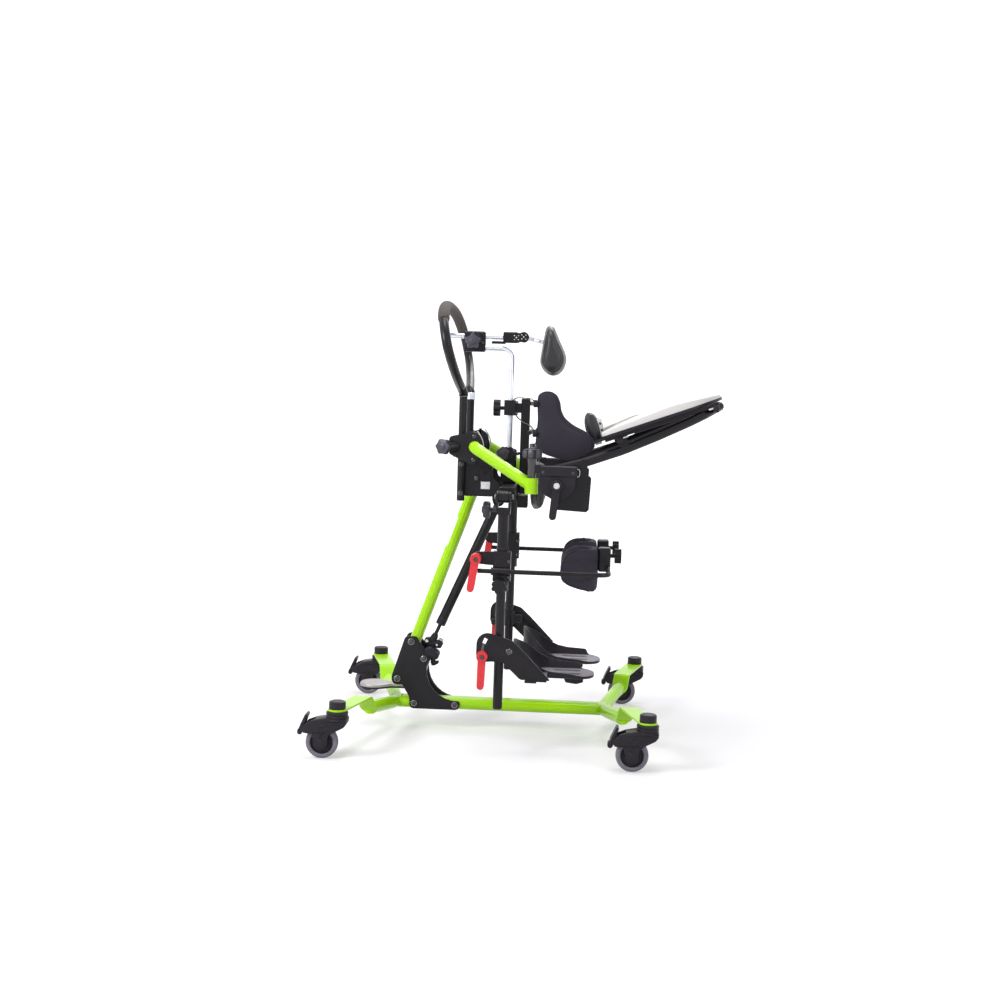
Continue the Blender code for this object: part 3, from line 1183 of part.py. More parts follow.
def knee(side, sign, swing):
    """The knee rod on its slide, the pad that it carries, and the red clamp lever."""
    y = sign * KNEE_PAD_Y
    low_y = sign * (KNEE_PAD_Y + 20 * MM)
    route = [
        spot(KNEE_ROD_REAR_X, sign * KNEE_ROD_Y, KNEE_ROD_Z),
        spot(KNEE_ROD_FRONT_X, sign * KNEE_ROD_Y, KNEE_ROD_Z),
        spot(KNEE_ROD_FRONT_X, sign * (KNEE_PAD_Y + 8 * MM), KNEE_ROD_Z),
    ]
    bar = tube(rounded(route, [22 * MM], 4), KNEE_ROD_D, 10, "knee_rod_" + side)
    low, high = sorted((sign * (KNEE_PAD_Y - 15 * MM), low_y))
    mount = block(spot(KNEE_PAD_BACK_X + 0.6 * MM, low, 424 * MM), spot(KNEE_ROD_FRONT_X + 7 * MM, high, 482 * MM),
                  "mount", 3 * MM)
    star = knob(spot(KNEE_ROD_FRONT_X + 17 * MM, y, 462 * MM), Vector((1, 0, 0)), 36 * MM, 16 * MM, 7)
    bar = join(bar, mount, star)
    reach = empty("knee_reach_" + side, spot(-26 * MM, sign * KNEE_ROD_Y, KNEE_ROD_Z), swing)
    hang(reach, look(bar, "black"), look(knee_pad(side, sign), "cloth"))
    grip = lever((KNEE_LEVER_X, KNEE_LEVER_Z), (-95 * MM, 385 * MM), LEG_Y + 6 * MM + GAP, KNEE_ROD_Y + 19 * MM,
                 26 * MM, 17 * MM, KNEE_ROD_Y + 8 * MM, sign)
    grip.name = "knee_lever_" + side
    turn = empty("knee_lever_turn_" + side, spot(KNEE_LEVER_X, sign * LEG_Y, KNEE_LEVER_Z), swing)
    hang(turn, look(grip, "red"))


def knee_pad(side, sign):
    """A padded cup that opens to the rear, lofted from U-shaped sections."""
    bm = bmesh.new()
    half = KNEE_PAD_WIDTH / 2
    tall = KNEE_PAD_TOP_Z - KNEE_PAD_BOTTOM_Z
    fronts = [(0, 0.86, 5), (0.04, 0.62, 1.5), (0.1, 0.36, 0.5), (0.22, 0.08, 0), (0.42, 0, 0), (0.64, 0.03, 0),
              (0.78, 0.14, 0), (0.9, 0.36, 0.5), (0.97, 0.6, 1.5), (1, 0.8, 5)]
    depth = KNEE_PAD_BACK_X - KNEE_PAD_FRONT_X
    layers = []
    for share, back, shrink in fronts:
        z = KNEE_PAD_BOTTOM_Z + share * tall
        tip = KNEE_PAD_FRONT_X + depth * back
        thin = KNEE_PAD_THICKNESS - shrink * MM
        wide = half - shrink * MM
        ring = u_curve(tip, KNEE_PAD_BACK_X - shrink * MM, wide, 12)
        inner = u_curve(tip + 5 * MM, KNEE_PAD_BACK_X - shrink * MM - max(4 * MM, min(thin, depth * (1 - back) * 0.4)),
                        wide - thin, 10)
        ring += reversed(inner)
        layers.append([bm.verts.new((x, y + sign * KNEE_PAD_Y, z)) for x, y in ring])
    count = len(layers[0])
    for low, high in zip(layers, layers[1:]):
        for index in range(count):
            bm.faces.new((low[index - 1], low[index], high[index], high[index - 1]))
    bm.faces.new(layers[0])
    bm.faces.new(layers[-1])
    return from_bmesh("knee_pad_" + side, bm)


def u_curve(tip, back, wide, steps):
    """Points of a U in plan, from one wing's tip round the back to the other's."""
    points = []
    for step in range(steps + 1):
        angle = math.pi * (step / steps - 0.5)
        c, s = math.cos(angle), math.sin(angle)
        points.append((tip + (back - tip) * abs(c) ** 0.55, wide * math.copysign(abs(s) ** 0.8, s)))
    return points


def foot(side, sign, length):
    """The slotted side bracket, the foot plate on its flange, and the red clamp lever."""
    pivot = spot(FOOT_PIVOT_X, sign * FOOT_PLATE_Y, FOOT_PIVOT_Z)
    inner = FOOT_PLATE_Y - 7 * MM + GAP
    outer = inner + PLATE_THICKNESS
    shape = outline([(-80, 254, 10), (-60, 290, 12), (-34, 282, 10), (12, 268, 10), (96, 182, 6), (96, 160.6, 0),
                     (40, 160.6, 0), (38, 180, 6), (-12, 214, 14), (-56, 214, 10), (-76, 226, 8)])
    radius = math.hypot(FOOT_LEVER_X - FOOT_PIVOT_X, FOOT_LEVER_Z - FOOT_PIVOT_Z)
    middle = Vector((FOOT_PIVOT_X, FOOT_PIVOT_Z))
    slot = arc_slot(middle, radius, math.radians(158.5), math.radians(196), AXLE_D + 2 * RUNNING_FIT)
    bore = disc_outline(FOOT_PIVOT_X, FOOT_PIVOT_Z, AXLE_D + 2 * RUNNING_FIT)
    low, high = sorted((sign * inner, sign * outer))
    body = plate([shape, slot, bore], low, high, None, "foot_bracket_" + side)
    low, high = sorted((sign * (FOOT_Y - 35 * MM), sign * outer))
    under = FOOT_SOLE_Z - FOOT_SOLE_THICKNESS - GAP
    body = join(body, block(spot(42 * MM, low, under - 4 * MM), spot(94 * MM, high, under)))
    toe = block(spot(133 * MM, sign * FOOT_Y - 26 * MM, under - 14 * MM), spot(170 * MM, sign * FOOT_Y + 26 * MM, under))
    bridge = block(spot(88 * MM, sign * FOOT_Y - 20 * MM, under - 4 * MM),
                   spot(140 * MM, sign * FOOT_Y + 20 * MM, under - 0.5 * MM))
    body = join(body, bridge, toe)
    angle = empty("foot_angle_" + side, pivot, length)
    hang(angle, look(body, "black"), look(foot_plate(side, sign), "plastic"))
    grip = lever((FOOT_LEVER_X, FOOT_LEVER_Z), (-64 * MM, 157 * MM), outer + GAP, outer + 17 * MM,
                 26 * MM, 17 * MM, outer + 5 * MM, sign)
    shaft = rod(spot(FOOT_LEVER_X, sign * (FOOT_PLATE_Y - 7 * MM + GAP), FOOT_LEVER_Z),
                spot(FOOT_LEVER_X, sign * (outer + 3 * MM), FOOT_LEVER_Z), AXLE_D, 16)
    grip = join(grip, shaft)
    grip.name = "foot_lever_" + side
    turn = empty("foot_lever_turn_" + side, spot(FOOT_LEVER_X, sign * FOOT_PLATE_Y, FOOT_LEVER_Z), length)
    hang(turn, look(grip, "red"))


def arc_slot(middle, radius, first, last, width):
    """A closed outline round an arc-shaped slot."""
    shape = []
    for side, ends in ((1, (first, last)), (-1, (last, first))):
        for step in range(7):
            angle = ends[0] + (ends[1] - ends[0]) * step / 6
            shape.append(middle + Vector((math.cos(angle), math.sin(angle))) * (radius + side * width / 2))
        tip = middle + Vector((math.cos(ends[1]), math.sin(ends[1]))) * radius
        for step in range(1, 4):
            angle = ends[1] + side * math.pi * step / 4 + (0 if side > 0 else math.pi)
            if side < 0:
                angle = ends[1] + math.pi - side * -math.pi * step / 4
            shape.append(tip + Vector((math.cos(angle), math.sin(angle))) * width / 2)
    return shape


def foot_plate(side, sign):
    """The foot plate: a slotted sole with a heel cup whose wall falls towards the toe."""
    bm = bmesh.new()
    heel = HEEL_X[side]
    sole = FOOT_SOLE_Z - FOOT_SOLE_THICKNESS
    floor = FOOT_SOLE_Z
    rings = []
    for inset, inner in ((0, False), (FOOT_WALL, True)):
        half = FOOT_WIDTH / 2 - inset
        back = heel + inset
        front = heel + FOOT_LENGTH - inset
        corners = [Vector((back, half)), Vector((front, half)), Vector((front, -half)), Vector((back, -half))]
        radii = [half * 0.93, 40 * MM, 40 * MM, half * 0.93]
        edge = []
        for index, radius in enumerate(radii):
            after = corners[(index + 1) % 4]
            turned_corner = arc(corners[index - 1], corners[index], after, radius, 7)
            edge += turned_corner
            run = after - corners[index]
            if index in (0, 2):
                edge += [turned_corner[-1] + run.normalized() * step * 22 * MM for step in (1, 2)]
        rings.append(edge)
    outer, inner = rings
    rows = []
    for edge, levels in ((outer, (sole, None)), (inner, (None, floor))):
        for level in levels:
            rows.append([bm.verts.new((p.x, p.y + sign * FOOT_Y, rim_height(outer[i].x - heel) if level is None
                                       else level)) for i, p in enumerate(edge)])
    for low, high in zip(rows, rows[1:]):
        for index in range(len(outer)):
            bm.faces.new((low[index - 1], low[index], high[index], high[index - 1]))
    bm.faces.new(rows[0])
    bm.faces.new(rows[-1])
    body = from_bmesh("foot_plate_" + side, bm)
    slots = []
    for offset in (-22 * MM, 22 * MM):
        y = sign * FOOT_Y + offset
        slots.append(block(spot(heel + 70 * MM, y - 4 * MM, sole - 9 * MM), spot(heel + 160 * MM, y + 4 * MM, floor + 9 * MM)))
    return cut(body, *slots)


def rim_height(x):
    """The height of the foot plate's wall, by the distance from the heel."""
    levels = [(0, 246), (16, 242), (35, 226), (60, 199), (80, 189), (110, 181), (150, 176), (175, 172), (200, 171.5)]
    for (x0, z0), (x1, z1) in zip(levels, levels[1:]):
        if x <= x1 * MM:
            return (z0 + (z1 - z0) * max(0, x / MM - x0) / (x1 - x0)) * MM
    return levels[-1][1] * MM


def main():
    base_frame()
    for end, stem_x in (("rear", REAR_STEM_X), ("front", FRONT_STEM_X)):
        for side, sign in SIDES:
            caster(f"caster_{end}_{side}", stem_x, sign * STEM_Y)
    for side, sign in SIDES:
        gusset("gusset_" + side, sign)
    mast()
    foot_pedal()
    gas_spring()
    tilt = empty("frame_tilt", spot(TILT_X, 0, TILT_Z))
    hang(tilt, back_frame(), hip_beam(), *push_handle(), trunk_bar(), hip_pad())
    arms = empty("arm_hinge", spot(ARM_HUB_X, 0, ARM_HUB_Z), tilt)
    post = empty("tray_height", spot(SOCKET_X, 0, SOCKET_TOP_Z), arms)
    tray_tilt = empty("tray_tilt", spot(TRAY_PIVOT_X, 0, TRAY_PIVOT_Z), post)
    hang(tray_tilt, tray_frame(), tray_top())
    for side, sign in SIDES:
        hang(tilt, arm_bracket(side, sign))
        hang(arms, tray_arm(side, sign))
        hang(post, tray_carrier(side, sign))
        hang(tray_tilt, elbow_pad(side, sign))
        turn = empty("tray_lever_turn_" + side, spot(TRAY_PIVOT_X, sign * LEG_Y, TRAY_PIVOT_Z), post)
        grip = lever((TRAY_PIVOT_X, TRAY_PIVOT_Z), (90 * MM, 558 * MM), LEG_Y + 10 * MM + GAP, LEG_Y + 27 * MM,
                     26 * MM, 17 * MM, LEG_Y + 15 * MM, sign)
        shaft = rod(spot(TRAY_PIVOT_X, sign * (TRAY_TUBE_Y + 6 * MM), TRAY_PIVOT_Z),
                    spot(TRAY_PIVOT_X, sign * (LEG_Y + 12 * MM), TRAY_PIVOT_Z), AXLE_D, 16)
        grip = join(grip, shaft)
        grip.name = "tray_lever_" + side
        hang(turn, look(grip, "plastic"))
        side_pad(side, sign, tilt)
        leg(side, sign, tilt)
    head_support()


for old in list(bpy.data.objects):
    bpy.data.objects.remove(old)
PARTS = new_collection("standing_frame", False)
main()
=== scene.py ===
"""Dresses the standing frame: finishes, soft pads, fittings, and a studio with the picture's camera."""

import math

import bmesh
import bpy
from bpy.props import FloatProperty, FloatVectorProperty, PointerProperty
from mathutils import Matrix, Vector
from mathutils.bvhtree import BVHTree


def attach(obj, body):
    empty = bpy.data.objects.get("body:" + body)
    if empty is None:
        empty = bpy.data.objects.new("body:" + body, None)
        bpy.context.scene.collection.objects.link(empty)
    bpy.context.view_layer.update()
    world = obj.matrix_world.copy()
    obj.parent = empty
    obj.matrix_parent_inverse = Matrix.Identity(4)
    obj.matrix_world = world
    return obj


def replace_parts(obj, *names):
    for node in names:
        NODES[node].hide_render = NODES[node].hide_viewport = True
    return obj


bl_info = {
    "name": "Standing frame",
    "version": (1, 0, 0),
    "blender": (4, 5, 0),
    "location": "3D View > Sidebar > Stander",
    "description": "Dresses a child's standing frame and sets up its studio",
    "category": "Object",
}

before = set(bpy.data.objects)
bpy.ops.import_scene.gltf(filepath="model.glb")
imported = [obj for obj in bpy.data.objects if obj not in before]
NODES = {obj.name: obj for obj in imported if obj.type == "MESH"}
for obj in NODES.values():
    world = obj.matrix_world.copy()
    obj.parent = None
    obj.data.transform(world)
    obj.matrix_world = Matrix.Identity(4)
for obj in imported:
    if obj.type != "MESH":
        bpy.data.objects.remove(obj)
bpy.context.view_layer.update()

MM = 0.001
SIDES = (("near", -1), ("far", 1))
X = Vector((1, 0, 0))
Y = Vector((0, 1, 0))
Z = Vector((0, 0, 1))
AXLE = Vector((-33.6, 0, 37.5)) * MM  # from the foot of a caster's stem

# Places of the frame, in millimetres
ENDS = (("rear", -295, -385), ("front", 232, 324))  # X of the cross tube and of the stems
STEM_Y = 360
SPINE_Z = 63
LEG_Y = 250  # the tray's posts stand in line with the legs
FOOT_Y = 100
FOOT_PIVOT_Z = 246
SLOT_REACH = 61.5  # from a foot bracket's pivot to its slot
TRAY_LONG = 301
SLOPE = math.radians(20)  # of the tray

PUFF_FRAMES = 20


# Small makers


def linear(hex_colour):
    """The linear colour of an sRGB hex value."""
    channels = [int(hex_colour[start:start + 2], 16) / 255 for start in (1, 3, 5)]
    return [c / 12.92 if c <= 0.04045 else ((c + 0.055) / 1.055) ** 2.4 for c in channels]


def mm(x, y, z):
    return Vector((x, y, z)) * MM


def circle(count):
    """The angles of evenly spaced points round a circle."""
    return [2 * math.pi * step / count for step in range(count)]


def in_mm(pairs):
    """Pairs of radius and height, given in millimetres."""
    return [(radius * MM, height * MM) for radius, height in pairs]


def settings():
    return bpy.context.scene.stander


def colour(name):
    """One of the settings' colours, in linear values."""
    return list(getattr(settings().colours, name))


def add_object(name, data):
    """A new object of the scene for a mesh, a lamp or a camera."""
    obj = bpy.data.objects.new(name, data)
    bpy.context.scene.collection.objects.link(obj)
    return obj


def node(tree, kind, values=None, links=None, **options):
    """A shader node with its options, its socket values and the sockets that feed it."""
    made = tree.nodes.new(kind)
    for name, value in options.items():
        setattr(made, name, value)
    for name, value in (values or {}).items():
        made.inputs[name].default_value = value
    for name, source in (links or {}).items():
        tree.links.new(source, made.inputs[name])
    return made


def blank(name, base, roughness, metallic=0.0):
    """A material with its principled shader, its tree and its object coordinates."""
    material = bpy.data.materials.new(name)
    material.use_nodes = True
    tree = material.node_tree
    shader = tree.nodes["Principled BSDF"]
    shader.inputs["Base Color"].default_value = (*base, 1)
    shader.inputs["Roughness"].default_value = roughness
    shader.inputs["Metallic"].default_value = metallic
    place = node(tree, "ShaderNodeTexCoord").outputs["Object"]
    return material, tree, shader, place


def mottle(tree, shader, place, base, size, spread):
    """Lets the base colour drift a little, in patches of one size."""
    patches = node(tree, "ShaderNodeTexNoise", {"Scale": 1 / size, "Detail": 4}, {"Vector": place})
    ramp = node(tree, "ShaderNodeValToRGB", links={"Fac": patches.outputs["Fac"]})
    ramp.color_ramp.elements[0].position = 0.3
    ramp.color_ramp.elements[1].position = 0.7
    ramp.color_ramp.elements[0].color = (*[c * (1 - spread) for c in base], 1)
    ramp.color_ramp.elements[1].color = (*[min(1, c * (1 + spread)) for c in base], 1)
    tree.links.new(ramp.outputs["Color"], shader.inputs["Base Color"])
    return ramp


def grain(tree, shader, place, size, depth, rounding=0.0, strength=0.5):
    """Bumps the surface with a fine grain, over edges that are rounded by a small radius."""
    bumps = node(tree, "ShaderNodeTexNoise", {"Scale": 1 / size, "Detail": 3}, {"Vector": place})
    bump = node(tree, "ShaderNodeBump", {"Strength": strength, "Distance": depth}, {"Height": bumps.outputs["Fac"]})
    if rounding:
        edge = node(tree, "ShaderNodeBevel", {"Radius": rounding}, samples=4)
        tree.links.new(edge.outputs["Normal"], bump.inputs["Normal"])
    tree.links.new(bump.outputs["Normal"], shader.inputs["Normal"])
    return bump


def scuff(tree, shader, place, low, high, size):
    """Varies the roughness between two values, as handling does."""
    marks = node(tree, "ShaderNodeTexNoise", {"Scale": 1 / size, "Detail": 6}, {"Vector": place})
    spread = node(
        tree, "ShaderNodeMapRange", {"From Min": 0.3, "From Max": 0.7, "To Min": low, "To Max": high},
        {"Value": marks.outputs["Fac"]},
    )
    tree.links.new(spread.outputs["Result"], shader.inputs["Roughness"])


def textured(name, base, roughness, patches, metallic=0.0, specular=0.5, coat=(0, 0.03), marks=None, bumps=None):
    """A finish with a drifting colour; marks vary its roughness and bumps give it a grain, by sizes in millimetres."""
    material, tree, shader, place = blank(name, base, roughness, metallic)
    shader.inputs["Specular IOR Level"].default_value = specular
    shader.inputs["Coat Weight"].default_value, shader.inputs["Coat Roughness"].default_value = coat
    size, spread = patches
    mottle(tree, shader, place, base, size * MM, spread)
    if marks:
        low, high, size = marks
        scuff(tree, shader, place, low, high, size * MM)
    if bumps:
        size, depth, rounding, strength = bumps
        grain(tree, shader, place, size * MM, depth * MM, rounding * MM, strength)
    return material


# Finishes


def lime_powder_coat():
    """Powder-coated steel: glossy, with the faint orange peel of melted powder."""
    return textured(
        "lime_powder_coat", colour("lime"), 0.3, (90, 0.02), specular=0.25, coat=(0.3, 0.1), marks=(0.27, 0.34, 35),
        bumps=(2.5, 0.03, 0.8, 0.25),
    )


def black_powder_coat():
    """Powder-coated steel in satin black: a fine sparkle of grain that softens each highlight."""
    return textured(
        "black_powder_coat", colour("black_steel"), 0.32, (70, 0.08), specular=0.22, coat=(0.1, 0.14),
        marks=(0.3, 0.46, 25), bumps=(1.2, 0.05, 0.8, 0.2),
    )


def moulded_nylon():
    """Glass-filled nylon: matt, with the etched grain of its mould."""
    return textured("moulded_nylon", colour("moulding"), 0.4, (30, 0.1), specular=0.22, bumps=(0.9, 0.06, 1, 0.2))


def knob_nylon():
    """The knobs' nylon: a little paler than the mouldings, rubbed by hands."""
    return textured("knob_nylon", colour("knobs"), 0.42, (18, 0.12), bumps=(0.9, 0.06, 1, 0.25))


def grip_foam():
    """Closed-cell foam rubber: dull and warm, with small pits."""
    base = linear("#4a4440")
    material, tree, shader, place = blank("grip_foam", base, 0.85)
    mottle(tree, shader, place, base, 12 * MM, 0.16)
    pits = node(tree, "ShaderNodeTexVoronoi", {"Scale": 1 / (2.2 * MM)}, {"Vector": place})
    bump = node(
        tree, "ShaderNodeBump", {"Strength": 0.5, "Distance": 0.25 * MM}, {"Height": pits.outputs["Distance"]}
    )
    tree.links.new(bump.outputs["Normal"], shader.inputs["Normal"])
    return material


def neoprene_knit():
    """Neoprene with a knitted nylon face: a soft sheen, and rows of loops drawn 2.4 mm apart to show."""
    base = colour("knit")
    material, tree, shader, place = blank("neoprene_knit", base, 0.82)
    shader.inputs["Sheen Weight"].default_value = 0.2
    shader.inputs["Sheen Roughness"].default_value = 0.5
    shader.inputs["Sheen Tint"].default_value = (*linear("#8a84a0"), 1)
    mottle(tree, shader, place, base, 40 * MM, 0.12)
    loops = []
    for direction in ("X", "Z"):
        loops.append(
            node(
                tree, "ShaderNodeTexWave", {"Scale": 0.314 / (2.4 * MM), "Distortion": 0.6, "Detail": 1},
                {"Vector": place}, wave_type="BANDS", bands_direction=direction,
            )
        )
    rows = node(
        tree, "ShaderNodeMath", links={0: loops[0].outputs["Fac"], 1: loops[1].outputs["Fac"]}, operation="MULTIPLY"
    )
    bump = node(tree, "ShaderNodeBump", {"Strength": 0.45, "Distance": 0.3 * MM}, {"Height": rows.outputs["Value"]})
    tree.links.new(bump.outputs["Normal"], shader.inputs["Normal"])
    return material


def upholstery_vinyl():
    """Coated fabric over foam: pebbled like leather, with a low gloss on the pebbles."""
    base = colour("vinyl")
    material, tree, shader, place = blank("upholstery_vinyl", base, 0.42)
    shader.inputs["Sheen Weight"].default_value = 0.1
    mottle(tree, shader, place, base, 25 * MM, 0.1)
    pebbles = node(tree, "ShaderNodeTexVoronoi", {"Scale": 1 / (1.8 * MM)}, {"Vector": place})
    bump = node(
        tree, "ShaderNodeBump", {"Strength": 0.35, "Distance": 0.2 * MM}, {"Height": pebbles.outputs["Distance"]},
        invert=True,
    )
    tree.links.new(bump.outputs["Normal"], shader.inputs["Normal"])
    scuff(tree, shader, place, 0.36, 0.5, 18 * MM)
    return material


def red_nylon():
    """Moulded nylon in signal red, with a satin face."""
    return textured("red_nylon", colour("levers"), 0.38, (20, 0.06), bumps=(1.1, 0.05, 1, 0.5))


def tyre_rubber():
    """Grey non-marking rubber: matt, a little dusty, with a ground tread."""
    return textured("tyre_rubber", colour("tyre"), 0.7, (9, 0.1), bumps=(1, 0.08, 0, 0.5))


def satin_aluminium():
    """Anodised aluminium tube: pale, brushed along its length and softly mirrored."""
    return textured(
        "satin_aluminium", linear("#dfe3ec"), 0.34, (50, 0.02), 1, marks=(0.3, 0.38, 60), bumps=(0.8, 0.02, 0.5, 0.3)
    )


def zinc_plate():
    """Bright zinc-plated steel for screws and pins."""
    return textured("zinc_plate", linear("#c9c8c6"), 0.28, (4, 0.12), 1, bumps=(0.7, 0.02, 0, 0.5))


def black_oxide():
    """Blackened steel screws under oil: dark, with crisp lights on their rims and sockets."""
    return textured("black_oxide", linear("#1f1d22"), 0.3, (5, 0.15), coat=(1, 0.05), bumps=(0.6, 0.02, 0, 0.5))


def tray_abs():
    """Vacuum-formed ABS: pale grey, finely pebbled, with the faint rubs of use."""
    return textured(
        "tray_abs", colour("tray"), 0.48, (110, 0.03), marks=(0.4, 0.56, 14), bumps=(1.6, 0.08, 1, 0.5)
    )


def sole_rubber():
    """A thin rubber mat, greyish pink with wear, ribbed by its mould."""
    return textured("sole_rubber", linear("#96909a"), 0.66, (16, 0.14), bumps=(1.4, 0.12, 0, 0.5))


def cast_pedal():
    """Tumbled cast aluminium: grey, dull and slightly pitted."""
    return textured("cast_pedal", linear("#a9a5a5"), 0.45, (15, 0.1), 0.85, bumps=(1.2, 0.1, 1, 0.5))


def blank_label():
    """White vinyl film: thin and slightly glossy."""
    return textured("blank_label", linear("#dfe1e6"), 0.35, (12, 0.04))


FINISHES = {}


def finish(maker):
    """The material that a maker gives, made once."""
    if maker.__name__ not in FINISHES:
        FINISHES[maker.__name__] = maker()
    return FINISHES[maker.__name__]


# Shapes


def soften():
    """A node group that welds a solid's corners and shades its faces smooth."""
    if "soften" in bpy.data.node_groups:
        return bpy.data.node_groups["soften"]
    group = bpy.data.node_groups.new("soften", "GeometryNodeTree")
    group.interface.new_socket("Geometry", in_out="INPUT", socket_type="NodeSocketGeometry")
    group.interface.new_socket("Geometry", in_out="OUTPUT", socket_type="NodeSocketGeometry")
    start = node(group, "NodeGroupInput")
    bare = node(
        group, "GeometryNodeRemoveAttribute", {"Name": "custom_normal"}, {"Geometry": start.outputs["Geometry"]}
    )
    weld = node(
        group, "GeometryNodeMergeByDistance", {"Distance": 0.01 * MM}, {"Geometry": bare.outputs["Geometry"]}
    )
    smooth = node(group, "GeometryNodeSetShadeSmooth", links={"Geometry": weld.outputs["Geometry"]})
    node(group, "NodeGroupOutput", links={"Geometry": smooth.outputs["Geometry"]})
    return group


def dress(name, maker, sharp=32):
    """Gives a solid of the frame its finish, and shades it smooth up to an angle in degrees."""
    obj = NODES[name]
    obj.data.materials.clear()
    obj.data.materials.append(finish(maker))
    obj.modifiers.new("soften", "NODES").node_group = soften()
    split = obj.modifiers.new("creases", "EDGE_SPLIT")
    split.split_angle = math.radians(sharp)
    return obj


def mesh_of(name, bm):
    """A mesh from mesh code, with its faces turned outwards."""
    mesh = bpy.data.meshes.new(name)
    bmesh.ops.recalc_face_normals(bm, faces=bm.faces)
    bm.to_mesh(mesh)
    bm.free()
    return mesh


def bake(obj):
    """Gives a piece the mesh that its modifiers make, and clears them."""
    bpy.context.view_layer.update()
    made = bpy.data.meshes.new_from_object(obj.evaluated_get(bpy.context.evaluated_depsgraph_get()))
    obj.modifiers.clear()
    obj.data = made


def put(name, bm, maker, body, sharp=30):
    """Adds a piece from mesh code, with its finish, and lets it ride on a body."""
    mesh = mesh_of(name, bm)
    mesh.shade_smooth()
    mesh.set_sharp_from_angle(angle=math.radians(sharp))
    obj = add_object(name, mesh)
    mesh.materials.append(finish(maker))
    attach(obj, body)
    return obj


def turn_to(axis):
    """The rotation that takes +Z to an axis."""
    return Z.rotation_difference(Vector(axis)).to_matrix().to_4x4()


def skin(bm, rings):
    """Faces between each ring of points and the next one."""
    count = len(rings[0])
    for low, high in zip(rings, rings[1:]):
        for index in range(count):
            after = (index + 1) % count
            bm.faces.new((low[index], low[after], high[after], high[index]))


def closed_skin(bm, rings):
    """Faces between rings of points, and over the first and the last of them, which it gives back."""
    skin(bm, rings)
    return [bm.faces.new(rings[0]), bm.faces.new(rings[-1])]


def lathe(bm, profile, place, axis, sides=40):
    """Spins (radius, height) points round an axis through a place."""
    move = Matrix.Translation(place) @ turn_to(axis)
    rings = []
    for radius, height in profile:
        if radius < 1e-6:
            rings.append([bm.verts.new(move @ Vector((0, 0, height)))])
            continue
        spots = [Vector((radius * math.cos(angle), radius * math.sin(angle), height)) for angle in circle(sides)]
        rings.append([bm.verts.new(move @ spot) for spot in spots])
    for low, high in zip(rings, rings[1:]):
        for index in range(sides):
            corners = [low[index % len(low)], low[(index + 1) % len(low)]]
            corners += [high[(index + 1) % len(high)], high[index % len(high)]]
            bm.faces.new(list(dict.fromkeys(corners)))
    return rings


def ring_lathe(bm, profile, place, axis, sides=40):
    """Spins a closed (radius, height) loop into a ring."""
    rings = lathe(bm, profile, place, axis, sides)
    skin(bm, [rings[-1], rings[0]])


def sweep(bm, path, radius, sides=20, closed=False):
    """A round tube along points; radius is one number, or one for each point."""
    count = len(path)
    radii = radius if isinstance(radius, (list, tuple)) else [radius] * count
    side = None
    rings = []
    for index, spot in enumerate(path):
        before = path[index - 1] if index or closed else spot
        after = path[(index + 1) % count] if index < count - 1 or closed else spot
        along = (after - before).normalized()
        if side is None:
            side = along.orthogonal().normalized()
        side = (side - along * side.dot(along)).normalized()
        up = along.cross(side)
        spokes = [side * math.cos(angle) + up * math.sin(angle) for angle in circle(sides)]
        rings.append([bm.verts.new(spot + spoke * radii[index]) for spoke in spokes])
    if closed:
        skin(bm, [*rings, rings[0]])
    else:
        closed_skin(bm, rings)


def smooth_path(points, cuts=6, closed=False):
    """Points along a smooth curve through the given ones."""
    count = len(points)
    made = []
    last = count if closed else count - 1
    for index in range(last):
        if closed:
            a, b, c, d = (points[(index + step) % count] for step in (-1, 0, 1, 2))
        else:
            a, b, c, d = (points[min(count - 1, max(0, index + step))] for step in (-1, 0, 1, 2))
        for part in range(cuts):
            t = part / cuts
            made.append(
                0.5 * (2 * b + (c - a) * t + (2 * a - 5 * b + 4 * c - d) * t * t + (3 * b - a - 3 * c + d) * t ** 3)
            )
    if not closed:
        made.append(points[-1].copy())
    return made


def slab(bm, start, end, rounding=0.0, segments=2):
    """A box between two opposite corners, with rounded edges."""
    low, high = ([pick(pair) for pair in zip(start, end)] for pick in (min, max))
    made = bmesh.ops.create_cube(bm, size=1)["verts"]
    for vert in made:
        vert.co = Vector([low[i] + (vert.co[i] + 0.5) * (high[i] - low[i]) for i in range(3)])
    if rounding:
        edges = list({edge for vert in made for edge in vert.link_edges})
        bmesh.ops.bevel(bm, geom=edges, offset=rounding, segments=segments, affect="EDGES", profile=0.5)


def round_corner(before, corner, after, radius, steps):
    """Points of an arc that rounds a corner in the plane."""
    to_before = (before - corner).normalized()
    to_after = (after - corner).normalized()
    half = to_before.angle(to_after) / 2
    reach = radius / math.tan(half)
    middle = corner + (to_before + to_after).normalized() * radius / math.sin(half)
    start = corner + to_before * reach - middle
    end = corner + to_after * reach - middle
    turn = start.angle_signed(end)
    points = []
    for step in range(steps + 1):
        angle = -turn * step / steps
        c, s = math.cos(angle), math.sin(angle)
        points.append(middle + Vector((start.x * c - start.y * s, start.x * s + start.y * c)))
    return points


def inset_outline(shape, inset):
    """The points of a closed outline, moved inwards."""
    turn = 1 if sum(shape[index - 1].cross(spot) for index, spot in enumerate(shape)) > 0 else -1
    moved = []
    for index, spot in enumerate(shape):
        along = (shape[(index + 1) % len(shape)] - shape[index - 1]).normalized()
        moved.append(spot + Vector((-along.y, along.x)) * turn * inset)
    return moved


